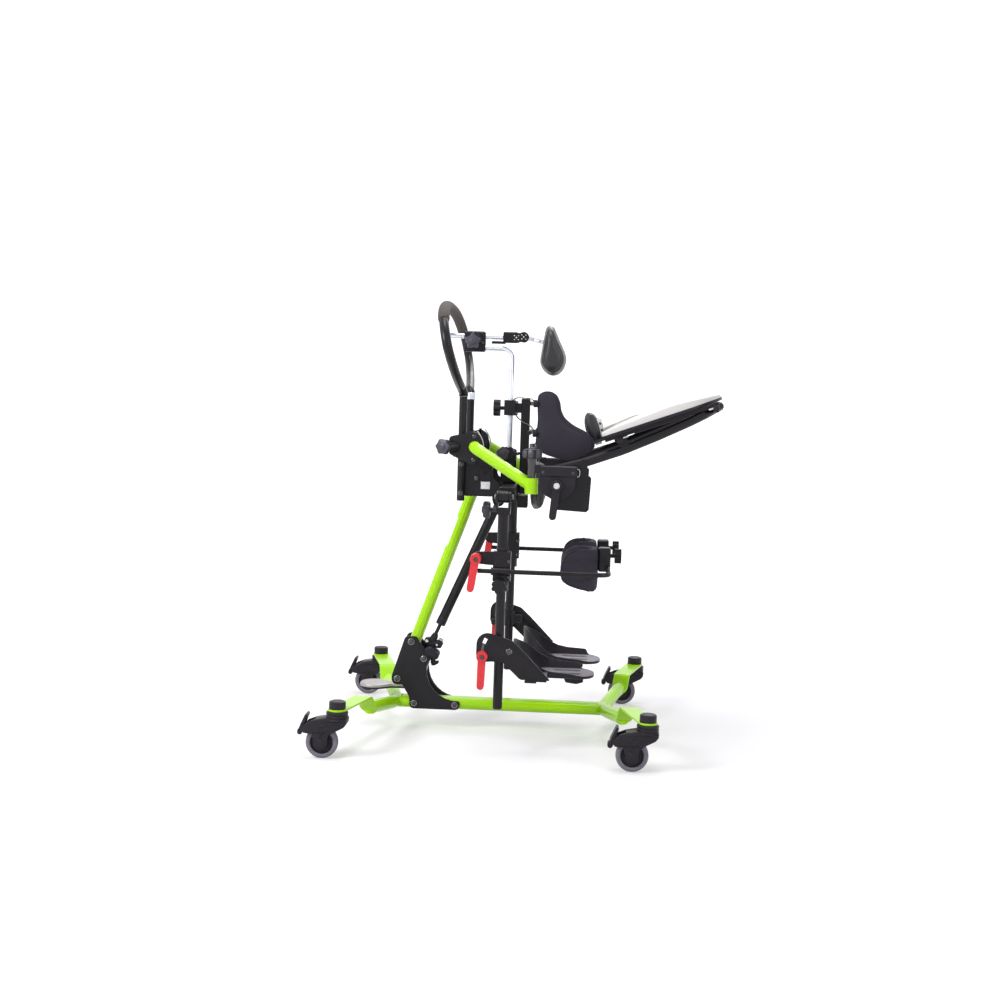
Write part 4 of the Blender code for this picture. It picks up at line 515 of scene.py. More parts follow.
def foot_shell(bm, heel, middle):
    """A moulded foot plate: a scooped heel cup whose walls fall to a flat toe; the far wall stays higher."""
    near_rim = [(0, 250), (6, 249), (20, 236), (39, 217), (56, 199), (72, 188), (88, 182), (112, 179), (145, 176),
                (165, 173), (174, 171.4), (200, 171.4)]
    far_rim = [(0, 248), (7, 243), (20, 237), (36, 228), (52, 216), (70, 204), (90, 195), (115, 190), (150, 188),
               (164, 187), (171, 173), (200, 171.4)]
    under = [(0, 207), (21, 193), (40, 180), (60, 168), (75, 165), (200, 165)]
    half, centre, floor = 54, 95, 5

    def level(table, x):
        for (x0, z0), (x1, z1) in zip(table, table[1:]):
            if x <= x1:
                share = max(0, (x - x0) / (x1 - x0))
                return z0 + (z1 - z0) * share
        return table[-1][1]
    coarse = outline([(0, half, 50), (200, half, 40), (200, -half, 40), (0, -half, 50)], 14)
    shape = []
    for index, spot in enumerate(coarse):
        before = coarse[index - 1]
        parts = max(1, round((spot - before).length / 5))
        shape += [before.lerp(spot, step / parts) for step in range(1, parts + 1)]
    shape = shape[-1:] + shape[:-1]
    rims = []
    for spot in shape:
        share = min(1, max(0, spot.y / half * 0.5 + 0.5))
        rims.append(level(near_rim, spot.x) * (1 - share) + level(far_rim, spot.x) * share)
    layers = [("scale", 0.35, 0), ("scale", 0.7, 0), ("low", 2.5, 0), ("low", 0.4, 1.6), ("rim", 0, -1),
              ("rim", 0.9, 0), ("rim", 2.3, 0), ("rim", 3.1, -1), ("floor", 3.4, 4), ("floor", 5, 1), ("floor", 8, 0),
              ("inner", 0.7, 0), ("inner", 0.35, 0)]
    rings = []
    for kind, inset, lift in layers:
        if kind in ("scale", "inner"):
            flats = [Vector((centre + (spot.x - centre) * inset, spot.y * inset)) for spot in shape]
        else:
            flats = inset_outline(shape, inset)
        ring = []
        for flat, rim in zip(flats, rims):
            base = level(under, flat.x)
            height = {"scale": base, "low": base + lift, "rim": rim + lift,
                      "floor": min(base + floor + lift, rim - 0.8), "inner": base + floor}[kind]
            ring.append(bm.verts.new(mm(heel + flat.x, middle + flat.y, height)))
        rings.append(ring)
    caps = closed_skin(bm, rings)
    bm.normal_update()
    bmesh.ops.triangulate(bm, faces=caps)


def base_shell():
    """The welded base: a flat-oval spine, two bent cross tubes, and the straps with their bored ends."""
    bm = bmesh.new()
    round_half, flat_half = 14.3, 11.7
    oval = []
    for angle in circle(32):
        c, s = math.cos(angle), math.sin(angle)
        oval.append((c * round_half + math.copysign(flat_half, c), s * round_half))
    closed_skin(bm, [[bm.verts.new(mm(x, y, SPINE_Z + z)) for y, z in oval] for _, x, _ in ENDS])
    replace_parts(put("base_spine", bm, lime_powder_coat, "base"), "base_frame")
    tubes, straps, welds = bmesh.new(), bmesh.new(), bmesh.new()
    half, bend, steps = 178, 24, 40
    for _, tube_x, stem_x in ENDS:
        run = (stem_x - tube_x) / STEM_Y
        path = []
        for step in range(steps + 1):
            y = half * (2 * step / steps - 1)
            out = math.hypot(y, bend) - bend
            path.append(mm(tube_x + run * out * 1.12, y, SPINE_Z + out * 0.115))
        sweep(tubes, path, 15.9 * MM, 32)
        for _, sign in SIDES:
            strap(straps, mm(tube_x, 0, 0), run, sign)
            strap_eye(straps, mm(stem_x, sign * STEM_Y, 0), Vector((run, sign, 0)).normalized())
            tip = path[0] if sign < 0 else path[-1]
            inner = path[2] if sign < 0 else path[-3]
            along = (tip - inner).normalized()
            level = along.cross(Z).normalized()
            upright = along.cross(along.cross(Z)).normalized()
            rim = []
            for angle in circle(28):
                side = level * math.cos(angle) + upright * math.sin(angle)
                rim.append(tip + side * 16.2 * MM + along * (side.z * 8.25 - 7) * MM)
            sweep(welds, rim, 1.7 * MM, 8, True)
        face = tube_x - math.copysign(14.5, tube_x)
        ring = [mm(face, 27 * math.cos(angle), SPINE_Z + 15.3 * math.sin(angle)) for angle in circle(36)]
        sweep(welds, ring, 1.8 * MM, 8, True)
    put("base_cross_tubes", tubes, lime_powder_coat, "base", 50)
    put("base_straps", straps, lime_powder_coat, "base")
    put("base_welds", welds, lime_powder_coat, "base", 60)


def strap_eye(bm, stem, along):
    """The bored round end of a strap, which runs back over the strap's own end."""
    across = Vector((along.y, -along.x, 0))
    bore, half, overlap = 12.8, 21.2, 30
    rows = []
    for angle in circle(64):
        back, side = math.cos(angle), math.sin(angle)
        reach = half if back <= 0 else min(half / max(abs(side), 0.01), overlap / max(back, 0.01))
        section = ((bore, 110.2), (reach - 0.7, 110.2), (reach, 110.8), (reach, 114.4), (reach - 0.7, 115.05),
                   (bore, 115.05))
        towards = across * side - along * back
        rows.append([bm.verts.new(stem + towards * r * MM + Z * h * MM) for r, h in section])
    skin(bm, [*rows, rows[0]])


def strap(bm, start, run, sign):
    """A flat strap with a round end on the cross tube, folded over and out to its eye."""
    along = Vector((run, sign, 0)).normalized()
    across = Vector((along.y, -along.x, 0))
    scale = math.hypot(1, run)
    corners = [Vector((170, 68)), Vector((206, 112.5)), Vector((337, 112.6))]
    bend = round_corner(corners[0], corners[1], corners[2], 12, 8)
    line = [corners[0].lerp(bend[0], share) for share in (0, 0.03, 0.08, 0.16, 0.26, 0.4, 0.6, 0.8)]
    line += bend + [corners[2]]
    half, thick, edge = 21, 2.4, 0.8
    rows = []
    travelled = 0
    for index, spot in enumerate(line):
        if index:
            travelled += (spot - line[index - 1]).length
        ahead = (line[min(index + 1, len(line) - 1)] - line[max(index - 1, 0)]).normalized()
        wide = math.sqrt(max(0, half ** 2 - max(0, half - travelled - 1) ** 2))
        rim = min(edge, wide * 0.4)
        out = Vector((-ahead.y, ahead.x))
        row = []
        for w, t in ((-wide, -thick + edge), (-wide + rim, -thick), (wide - rim, -thick), (wide, -thick + edge),
                     (wide, thick - edge), (wide - rim, thick), (-wide + rim, thick), (-wide, thick - edge)):
            flat = spot + out * t
            row.append(bm.verts.new(start + (along * flat.x * scale + across * w + Z * flat.y) * MM))
        rows.append(row)
    closed_skin(bm, rows)


def brake_pedal(name, stem):
    """A caster's brake pedal: a thin blade above a rounded toe bar."""
    bm = bmesh.new()
    blade = outline([(-65, 101, 2), (-70.5, 104, 2), (-82, 79, 2), (-85.5, 70, 3), (-82, 64, 2), (-75, 72, 3)], 4)
    plate(bm, blade, -17, 17, 1)
    toe = outline([(-81, 70, 3), (-89, 67, 4), (-91, 56, 5), (-82, 52.5, 5), (-76.5, 61, 5)], 4)
    plate(bm, toe, -12, 12, 2)
    for row in range(4):
        at = mm(-71.8 - row * 2.6, 0, 98 - row * 5.6)
        slab(bm, at + mm(-1.5, -13, -1), at + mm(0.4, 13, 1), 0.4 * MM)
    move(bm, stem)
    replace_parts(put("brake_pedal_" + name, bm, moulded_nylon, "brake_" + name, 34), f"caster_{name}_brake")


def caster_fork(name, stem):
    """A caster's fork: a hood with a well behind the pedal, arms that narrow to the axle, collars and a cap."""
    hood = outline([
        (25, 94, 2), (24, 83, 4), (18, 75, 8), (-2, 64.5, 8), (-14, 56, 6), (-24, 62, 4), (-48, 62, 4), (-60, 58, 6),
        (-74, 60, 5), (-81, 69, 5), (-76, 76, 4), (-68, 84.5, 3), (-49, 92, 6), (-25, 96.5, 6), (0, 97, 0),
    ])
    arm = outline([(-12, 66, 3), (-18.5, 48, 6), (-18.6, 22.5, 14.5), (-48.6, 22.5, 14.5), (-51, 44, 6), (-58, 66, 3)])
    bm = bmesh.new()
    plate(bm, hood, -22, 22, 3)
    move(bm, stem)
    body = put("fork_hood_" + name, bm, moulded_nylon, "caster_" + name, 34)
    cutter = bmesh.new()
    lathe(cutter, in_mm([(39.5, 0), (39.5, 25), (0, 25)]), stem + AXLE - Y * 12.5 * MM, Y, 48)
    slab(cutter, stem + mm(-69.5, -13, 68), stem + mm(-49, 13, 110), 1.5 * MM)
    cut_through(body, cutter)
    body.data.set_sharp_from_angle(angle=math.radians(34))
    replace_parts(body, f"caster_{name}_fork")
    bm = bmesh.new()
    for sign in (-1, 1):
        plate(bm, arm, sign * 12.6, sign * 19, 2)
        for path, radius in (([(-40, 64), (-38, 72), (-31, 78.5), (-18, 82.5), (6, 83.5), (20, 82)], 1.5),
                             ([(-36.5, 50), (-33, 60), (-26, 68), (-14, 73), (6, 76)], 1.3)):
            ridge = [mm(x, sign * (21.6 if z > 62 else 19 + max(0, z - 58) * 0.65), z) for x, z in path]
            sweep(bm, smooth_path(ridge, 5), radius * MM, 10)
    move(bm, stem)
    axle = stem + AXLE
    for face in (-1, 1):
        disc(bm, axle + mm(0, face * 19, 0), Y * face, 9.8 * MM, 2.2 * MM)
        disc(bm, axle + mm(0, face * 21, 0), Y * face, 5.6 * MM, 1.2 * MM)
    cap = [(19.3, 0), (19.4, 13.5), (18.6, 16.6), (15.5, 18.1), (11, 18.25), (10.2, 17.7), (0, 17.7)]
    lathe(bm, in_mm(cap), stem + mm(0, 0, 115.35), Z, 40)
    collars = [(22, 86.4)]
    for level in range(3):
        low = 88 + level * 7.3
        collars += [(24, low), (25.4, low + 1.6), (25.4, low + 5.2), (24, low + 6.6)]
    collars.append((13, 109.9))
    lathe(bm, in_mm(collars), stem, Z, 40)
    put("fork_arms_" + name, bm, moulded_nylon, "caster_" + name, 34)


def disc(bm, place, axis, radius, height):
    """A low round boss with a softened rim."""
    edge = min(0.8 * MM, height * 0.4, radius * 0.4)
    lathe(bm, [(radius, -0.3 * MM), (radius, height - edge), (radius - edge, height), (0, height)], place, axis, 28)


def move(bm, by):
    """Moves all the points of a form."""
    for vert in bm.verts:
        vert.co = vert.co + by


def layered(bm, shape, layers, place):
    """A closed form through copies of an outline; each layer gives its inset and what places it."""
    rings = []
    for inset, *level in layers:
        rings.append([bm.verts.new(place(flat.x, flat.y, *level)) for flat in inset_outline(shape, inset)])
    caps = closed_skin(bm, rings)
    bm.normal_update()
    bmesh.ops.triangulate(bm, faces=caps)


def outline(corners, steps=8):
    """A closed outline from corners of x, z and radius in millimetres."""
    spots = [Vector((x, z)) for x, z, _ in corners]
    shape = []
    for index, (_, _, radius) in enumerate(corners):
        after = spots[(index + 1) % len(spots)]
        shape += round_corner(spots[index - 1], spots[index], after, radius, steps) if radius else [spots[index]]
    return shape


def plate(bm, shape, low, high, rounding=0.6):
    """A flat plate on an outline, between two values of Y in millimetres, with rounded rims."""
    low, high = sorted((low, high))
    layers = [(rounding, low), (rounding * 0.3, low + rounding * 0.3), (0, low + rounding), (0, high - rounding),
              (rounding * 0.3, high - rounding * 0.3), (rounding, high)]
    layered(bm, shape, layers, lambda x, z, y: mm(x, y, z))


def screw(bm, place, axis, diameter, height=None):
    """A button-head screw with a hexagon socket."""
    r = diameter / 2
    h = height or diameter * 0.3
    hole = r * 0.42
    floor = h * 0.25
    profile = [(r * 0.98, 0), (r, h * 0.3), (r * 0.86, h * 0.78), (r * 0.6, h), (hole, h), (hole, floor), (0, floor)]
    lathe(bm, profile, place, axis, 24)


def screws(name, body, spots, maker=None):
    """One piece of button-head screws; each has a place, an axis, a diameter and perhaps a height."""
    bm = bmesh.new()
    for place, axis, *sizes in spots:
        screw(bm, place, axis, *(size * MM for size in sizes))
    put(name, bm, maker or black_oxide, body)


def hex_nut(bm, place, axis, across, height):
    """A hexagon nut or bolt head with a domed top."""
    r = across / 2 / math.cos(math.pi / 6)
    lathe(bm, [(r, 0), (r, height * 0.85), (r * 0.86, height), (0, height)], place, axis, 6)


def washer(bm, place, axis, outer, inner, height):
    """A flat ring with a softened rim."""
    soft = min(height, outer - inner) * 0.3
    ring_lathe(
        bm, [(inner, 0), (outer, 0), (outer, height - soft), (outer - soft, height), (inner, height)], place, axis, 28
    )


# Soft goods


def surface_of(obj):
    """A finder of the nearest point on a piece's surface."""
    return BVHTree.FromObject(obj, bpy.context.evaluated_depsgraph_get())


def remeshed(bm, name, voxel):
    """The closed form as an even mesh, fine enough for cloth to bend."""
    obj = add_object(name, mesh_of(name, bm))
    even = obj.modifiers.new("even", "REMESH")
    even.mode = "VOXEL"
    even.voxel_size = voxel
    bake(obj)
    return obj


def puff(obj, most, pressure):
    """Swells the cover by a short cloth run under pressure, no point moving further than a limit."""
    rest = [vert.co.copy() for vert in obj.data.vertices]
    cloth = obj.modifiers.new("cover", "CLOTH")
    cloth.settings.quality = 5
    cloth.settings.use_pressure = True
    cloth.settings.uniform_pressure_force = pressure
    cloth.settings.tension_stiffness = 25
    cloth.settings.compression_stiffness = 25
    cloth.settings.bending_stiffness = 2
    cloth.settings.effector_weights.gravity = 0
    cloth.point_cache.frame_start = 1
    cloth.point_cache.frame_end = PUFF_FRAMES
    scene = bpy.context.scene
    for step in range(1, PUFF_FRAMES + 1):
        scene.frame_set(step)
    shape = obj.evaluated_get(bpy.context.evaluated_depsgraph_get()).to_mesh()
    moved = [vert.co.copy() for vert in shape.vertices]
    obj.modifiers.remove(cloth)
    scene.frame_set(1)
    for vert, start, end in zip(obj.data.vertices, rest, moved):
        step = end - start
        vert.co = start + step * min(1, most / max(step.length, 1e-9))


def soft(name, bm, maker, body, node_name, most=3 * MM, pressure=4.0, voxel=5 * MM, fill=0.85):
    """A padded piece: evened, puffed, smoothed, and standing for its plain solid."""
    obj = remeshed(bm, name, voxel)
    puff(obj, most, pressure)
    obj.data.materials.clear()
    obj.data.materials.append(finish(maker))
    obj.data.shade_smooth()
    ease = obj.modifiers.new("ease", "SMOOTH")
    ease.factor = 0.5
    ease.iterations = 4
    finer = obj.modifiers.new("finer", "SUBSURF")
    finer.levels = finer.render_levels = 1
    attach(obj, body)
    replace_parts(obj, node_name)
    return obj


def piping(name, obj, path, radius, maker, body, closed=True):
    """A covered cord sewn along a seam, laid on the pad's own surface."""
    finder = surface_of(obj)
    laid = []
    for spot in path:
        place, normal, _, _ = finder.find_nearest(spot)
        laid.append(place + normal * radius * 0.25)
    bm = bmesh.new()
    sweep(bm, laid, radius, 8, closed)
    return put(name, bm, maker, body, 60)


def crowned(bm, edge, centre, frame_of, half, crown, band=0.0):
    """A boxed cushion on an outline: a side band between two seams, and a crowned face on each side."""
    layers = [(0.1, half + crown), (0.35, half + crown * 0.93), (0.6, half + crown * 0.72), (0.8, half + crown * 0.36),
              (0.92, half), (0.98, half * 0.94), (1.0, half * 0.8)]
    steps = [*layers, (1.0 + band, half * 0.35), (1.0 + band, -half * 0.35)]
    steps += [(inset, -height) for inset, height in reversed(layers)]
    rings = []
    for inset, height in steps:
        flats = [centre + (spot - centre) * inset for spot in edge]
        rings.append([bm.verts.new(frame_of(flat.x, height, flat.y)) for flat in flats])
    closed_skin(bm, rings)


def side_pads():
    """The two trunk pads: knitted neoprene over foam, waisted, with piped seams."""
    pads = settings().pads
    corners = [(41, 838), (50, 853), (66, 858), (84, 853), (95, 833), (101, 812), (110, 795), (131, 777),
               (158, 762), (178, 747), (186, 731), (180, 715), (154, 702), (124, 691), (90, 697), (60, 707),
               (43, 726), (42, 755), (44, 790)]
    edge = smooth_path([Vector((x, z)) * MM for x, z in corners], 4, True)
    centre = Vector((88, 765)) * MM
    half = pads.side_thickness / 2 - pads.side_crown
    for side, sign in SIDES:
        def place(x, y, z):
            return Vector((x, sign * 140 * MM + y, z))
        bm = bmesh.new()
        inner = [centre + (spot - centre) * 0.985 for spot in edge]
        crowned(bm, inner, centre, place, half, pads.side_crown * 0.6, 0.01)
        obj = soft("side_cushion_" + side, bm, neoprene_knit, "side_pad_" + side, "side_pad_" + side, 2.5 * MM, 3.0)
        for label, level in (("outer", sign * half * 0.86), ("inner", -sign * half * 0.86)):
            path = [place(spot.x, level, spot.y) for spot in edge]
            piping(f"side_piping_{label}_{side}", obj, path, pads.piping, neoprene_knit, "side_pad_" + side)
        face = [centre + (spot - centre) * 0.88 for spot in edge[12:44]]
        path = [place(spot.x, sign * (half + pads.side_crown * 0.4), spot.y) for spot in face]
        piping("side_seam_" + side, obj, path, pads.piping, neoprene_knit, "side_pad_" + side, False)


def hip_cushion():
    """The pad behind the hips: it wraps round a little, with a sewn channel across it."""
    bm = bmesh.new()
    half = 100 * MM
    rings = []
    for step in range(25):
        angle = math.pi * (step / 24 - 0.5) * 0.94
        y = half * math.sin(angle) / math.sin(math.pi * 0.47)
        thick = 15.5 * MM * math.cos(angle) ** 0.45
        tall = 61 * MM * (0.55 + 0.45 * math.cos(angle) ** 0.6)
        forward = 46 * MM + 14 * MM * (y / half) ** 2
        ring = []
        for turn in circle(36):
            c, s = math.cos(turn), math.sin(turn)
            ring.append(bm.verts.new((
                forward + thick * math.copysign(abs(c) ** 0.75, c), y, 623 * MM + tall * math.copysign(abs(s) ** 0.7, s)
            )))
        rings.append(ring)
    closed_skin(bm, rings)
    obj = soft("hip_cushion", bm, upholstery_vinyl, "tilt_frame", "hip_pad", 2.5 * MM, 3.0)
    for label, z in (("upper", 648), ("lower", 598)):
        path = [Vector((80 * MM, -88 * MM + 176 * MM * step / 40, z * MM)) for step in range(41)]
        piping(f"hip_channel_{label}", obj, path, 1.0 * MM, upholstery_vinyl, "tilt_frame", False)


def head_cushion():
    """The teardrop head pad: a thick roll below, thin above, rounded towards both ends."""
    profile = [(66, 1022), (56, 1016), (51, 985), (46, 955), (43, 930), (50, 912), (64, 899), (79, 896),
               (94, 902), (105, 918), (109, 939), (103, 959), (90, 983), (80, 1006), (76, 1018)]
    edge = smooth_path([Vector((x, z)) * MM for x, z in profile], 4, True)
    centre = Vector((74, 940)) * MM
    bm = bmesh.new()
    rings = []
    for step in range(23):
        angle = math.pi * (step / 22 - 0.5) * 0.95
        y = 74 * MM * math.sin(angle)
        size = math.cos(angle) ** 0.42 * 0.985
        rings.append([bm.verts.new((centre.x + (p.x - centre.x) * size, y, centre.y + (p.y - centre.y) * size))
                      for p in edge])
    closed_skin(bm, rings)
    obj = soft("head_cushion", bm, upholstery_vinyl, "head_pad", "head_pad", 2 * MM, 3.0, 4.5 * MM)
    for side, sign in SIDES:
        path = [Vector((centre.x + (p.x - centre.x) * 0.9, sign * 62 * MM, centre.y + (p.y - centre.y) * 0.9))
                for p in edge]
        piping("head_seam_" + side, obj, path, 1.0 * MM, upholstery_vinyl, "head_pad")


def elbow_cushions():
    """The two upright elbow pads behind the tray, each on a pale plate with a bracket to the tray."""
    edge = [Vector((16.4 * MM * math.cos(angle), 38.5 * MM * math.sin(angle))) for angle in circle(40)]
    for side, sign in SIDES:
        turn = Matrix.Translation(mm(180, sign * 97, 770)) @ Matrix.Rotation(math.radians(-17), 4, "Y")

        def place(x, y, z):
            return turn @ Vector((x, y, z))
        bm = bmesh.new()
        crowned(bm, edge, Vector((0, 0)), place, 15 * MM, 4.5 * MM, 0.02)
        body = "tray"
        obj = soft("elbow_cushion_" + side, bm, upholstery_vinyl, body, "elbow_pad_" + side, 1.5 * MM, 3.0, 4 * MM)
        path = [place(spot.x, 0, spot.y) for spot in edge]
        piping("elbow_seam_" + side, obj, path, 1.0 * MM, upholstery_vinyl, body)
        bm = bmesh.new()
        slab(bm, mm(11, -14, -18), mm(25, 14, 20), 4 * MM)
        slab(bm, mm(-4, -12, -40.5), mm(12, 12, -34), 2 * MM)
        for vert in bm.verts:
            vert.co = turn @ vert.co
        put("elbow_plate_" + side, bm, tray_abs, body)
        bm = bmesh.new()
        slab(bm, mm(-12, sign * 88, -8.6), mm(28, sign * 170, -3.4), 1.2 * MM)
        onto_tray(bm)
        put("elbow_bracket_" + side, bm, moulded_nylon, body)
        spots = [(turn @ mm(19, sign * 13.8, z), Y * sign, 6.5, 1.6) for z in (-8, 8)]
        screws("elbow_screws_" + side, body, spots)


def u_curve(tip, back, wide, steps):
    """Points of a U in plan, from one wing's tip round the back to the other's."""
    points = []
    for step in range(steps + 1):
        angle = math.pi * (step / steps - 0.5)
        c, s = math.cos(angle), math.sin(angle)
        points.append((tip + (back - tip) * abs(c) ** 0.55, wide * math.copysign(abs(s) ** 0.8, s)))
    return points


def knee_cushions():
    """The two padded knee cups: neoprene wings round a hollow, with piped rims."""
    back, front, half, low, tall, thin = (v * MM for v in (203, 109, 56, 377, 104, 15))
    levels = [(0, 0.86, 5), (0.02, 0.72, 2.5), (0.05, 0.56, 1.2), (0.1, 0.36, 0.5), (0.16, 0.19, 0), (0.24, 0.07, 0),
              (0.42, 0, 0), (0.6, 0.03, 0), (0.7, 0.06, 0), (0.8, 0.1, 0), (0.88, 0.17, 0.5), (0.94, 0.28, 1.2),
              (0.98, 0.42, 2.5), (1, 0.6, 5)]
    for side, sign in SIDES:
        bm = bmesh.new()
        rings = []
        rims = [[], []]
        for share, reach, shrink in levels:
            z = low + share * tall
            tip = front + (back - front) * reach
            ring = u_curve(tip, back - shrink * MM, half - shrink * MM, 30)
            wall = max(4 * MM, min(thin - shrink * MM, (back - front) * (1 - reach) * 0.4))
            inner = u_curve(tip + 3 * MM, back - shrink * MM - wall, half - thin, 26)
            rims[0].append(Vector((ring[0][0] + 4 * MM, ring[0][1] + sign * FOOT_Y * MM, z)))
            rims[1].append(Vector((ring[-1][0] + 4 * MM, ring[-1][1] + sign * FOOT_Y * MM, z)))
            rings.append([bm.verts.new((x, y + sign * FOOT_Y * MM, z)) for x, y in ring + inner[::-1]])
        closed_skin(bm, rings)
        body = "knee_" + side
        obj = soft("knee_cushion_" + side, bm, neoprene_knit, body, "knee_pad_" + side, 1.5 * MM, 2.0, 4 * MM)
        path = smooth_path([*rims[0], *reversed(rims[1])], 4, True)
        piping("knee_piping_" + side, obj, path, 1.4 * MM, neoprene_knit, body)
        for label, share in (("upper", 0.72), ("lower", 0.3)):
            z = low + share * tall
            line = [Vector((x, y + sign * FOOT_Y * MM, z)) for x, y in u_curve(front + 14 * MM, back, half, 30)]
            piping(f"knee_seam_{label}_{side}", obj, line, 0.9 * MM, neoprene_knit, body, False)


# Casters and base


def caster_fittings():
    """Wheels with a grey tyre on a ringed hub, and each caster's fork and brake pedal."""
    wheels = settings().wheels
    rim = wheels.diameter / 2
    half = wheels.width / 2
    for end, _, stem_x in ENDS:
        for side, sign in SIDES:
            name = f"{end}_{side}"
            stem = mm(stem_x, sign * STEM_Y, 0)
            axle = stem + AXLE
            bm = bmesh.new()
            flank = [(26.5 * MM, 0.84), (30 * MM, 1), (rim - 4 * MM, 0.97), (rim - 1.4 * MM, 0.78),
                     (rim - 0.2 * MM, 0.4), (rim - 0.02 * MM, 0)]
            tyre = [(r, -half * share) for r, share in flank] + [(r, half * share) for r, share in flank[-2::-1]]
            ring_lathe(bm, tyre, axle, Y, 56)
            put(f"tyre_{name}", bm, tyre_rubber, "wheel_" + name, 50)
            bm = bmesh.new()
            face = [(4.6, 8.5), (9, 8.5), (11, 5), (16.5, 5), (17, 7.4), (19.4, 7.4), (20, 4.6), (24.5, 5), (25.2, 9),
                    (26.8, 9)]
            hub = in_mm([(r, -y) for r, y in face] + face[::-1])
            ring_lathe(bm, hub, axle, Y, 48)
            piece = put(f"wheel_hub_{name}", bm, moulded_nylon, "wheel_" + name)
            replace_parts(piece, f"caster_{name}_wheel")
            caster_fork(name, stem)
            brake_pedal(name, stem)


def base_fittings():
    """The enamelled base and mast, the side plates with their screws and bright rings that paint their rim highlights,
    and the foot pedal.
    """
    base_shell()
    dress("mast", lime_powder_coat, 28)
    shape = outline([(-272, 233, 11), (-244, 233, 12), (-207, 178, 13), (-216, 157, 10), (-216, 71, 78),
                     (-130.5, 72, 6), (-130.5, 49.5, 12), (-258, 49.5, 12), (-258, 78, 30), (-277, 110, 6),
                     (-304, 109, 13), (-304, 131, 12)])
    for side, sign in SIDES:
        bm = bmesh.new()
        plate(bm, shape, sign * 26.3, sign * 30.8, 0.7)
        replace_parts(put("side_plate_" + side, bm, black_powder_coat, "base", 34), "gusset_" + side)
    bolts, rims = bmesh.new(), bmesh.new()
    for x, z, wide in ((-257, 219, 14), (-224, 177, 13), (-290, 124, 14), (-246, 63, 13), (-143, 62, 13)):
        for _, sign in SIDES:
            washer(bolts, mm(x, sign * 30.75, z), Y * sign, wide * 0.62 * MM, wide * 0.2 * MM, 0.9 * MM)
            screw(bolts, mm(x, sign * 31.5, z), Y * sign, wide * MM * 0.9, wide * MM * 0.28)
            # Painted highlight: a thin bright zinc ring round each black screw stands for the light caught on its rim.
            reach = wide * 0.53
            ring = [mm(x + reach * math.cos(a), sign * 31.6, z + reach * math.sin(a)) for a in circle(28)]
            sweep(rims, ring, 0.35 * MM, 8, True)
    put("gusset_screws", bolts, black_oxide, "base")
    put("gusset_rims", rims, zinc_plate, "base")
    sole = outline([(-387, -41, 36), (-338, -41, 34), (-304, -15, 22), (-262, -13, 3), (-262, 13, 3), (-304, 15, 22),
                    (-338, 41, 34), (-387, 41, 36)], 12)
    bm = bmesh.new()
    layers = [(3, 99.4), (0.8, 100), (0, 101.5), (0, 105), (0.8, 106.6), (3, 107.6), (9, 108)]
    layered(bm, sole, layers, mm)
    arm = outline([(-275, 96, 2), (-232, 96, 6), (-213, 160, 8), (-213, 188, 8), (-231, 188, 8), (-246, 118, 12),
                   (-275, 107, 3)])
    plate(bm, arm, -10, 10, 2)
    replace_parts(put("pedal_blade", bm, cast_pedal, "foot_pedal", 28), "foot_pedal")
    under = bmesh.new()
    layered(under, sole, [(6, 95.4), (1.5, 96), (0.3, 97.4), (0.6, 99.6)], mm)
    put("pedal_underside", under, moulded_nylon, "foot_pedal")


def release_head(low, along):
    """The gas spring's thin rod and neck, and the moulded head with the levers that release it."""
    bm = bmesh.new()
    sweep(bm, [low + along * 40 * MM, low + along * 250 * MM], 4.6 * MM, 20)
    neck = [(8, 0), (8, 44), (10.5, 46), (10.5, 52), (9, 53), (9, 60), (7.4, 61), (7.4, 65), (4.6, 66)]
    lathe(bm, in_mm(neck), low, along, 24)
    lathe(bm, in_mm([(13, 0), (13, 24), (0, 24)]), low - Y * 12 * MM, Y, 28)
    plate(bm, outline([(-226, 204, 8), (-206, 207, 14), (-185, 190, 9), (-190, 175, 5), (-215, 172, 3)]), -14, 14, 5)
    dome = outline([(-226, 206, 8), (-206, 210, 14), (-183, 191, 8), (-189, 178, 4), (-206, 182, 6), (-218, 188, 6)])
    plate(bm, dome, -46, -33, 5)
    plate(bm, outline([(-209, 180, 1), (-197, 178, 1), (-197, 167, 1), (-188, 168, 1.5), (-189, 162, 1.5),
                       (-197, 157, 4), (-206, 155, 4), (-209, 164, 1)], 4), -7, 7, 1)
    plate(bm, outline([(-226, 226, 6), (-212, 228, 6), (-208, 216, 2), (-190, 222, 2), (-178, 213, 3), (-184, 201, 4),
                       (-206, 203, 3), (-226, 210, 5)]), -11, 11, 1.6)
    for x, z, radius in ((-219.4, 219.5, 6.6), (-194.3, 210, 5.2)):
        disc(bm, mm(x, -11, z), -Y, radius * MM, 2 * MM)
    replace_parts(put("release_head", bm, moulded_nylon, "gas_spring_rod", 34), "gas_spring_rod")
    bm = bmesh.new()
    for x, z, radius in ((-219.4, 219.5, 4.3), (-194.3, 210, 3.2)):
        lathe(bm, in_mm([(radius, 0), (radius, 2.4), (radius * 0.7, 3.6), (0, 4)]), mm(x, -12, z), -Y, 24)
    button = in_mm([(4.6, 0), (4.6, 11), (3.6, 12.5), (0, 12.6)])
    lathe(bm, button, mm(-190, 0, 224), Vector((0.9, 0, -0.44)), 24)
    put("release_pins", bm, zinc_plate, "gas_spring_rod")


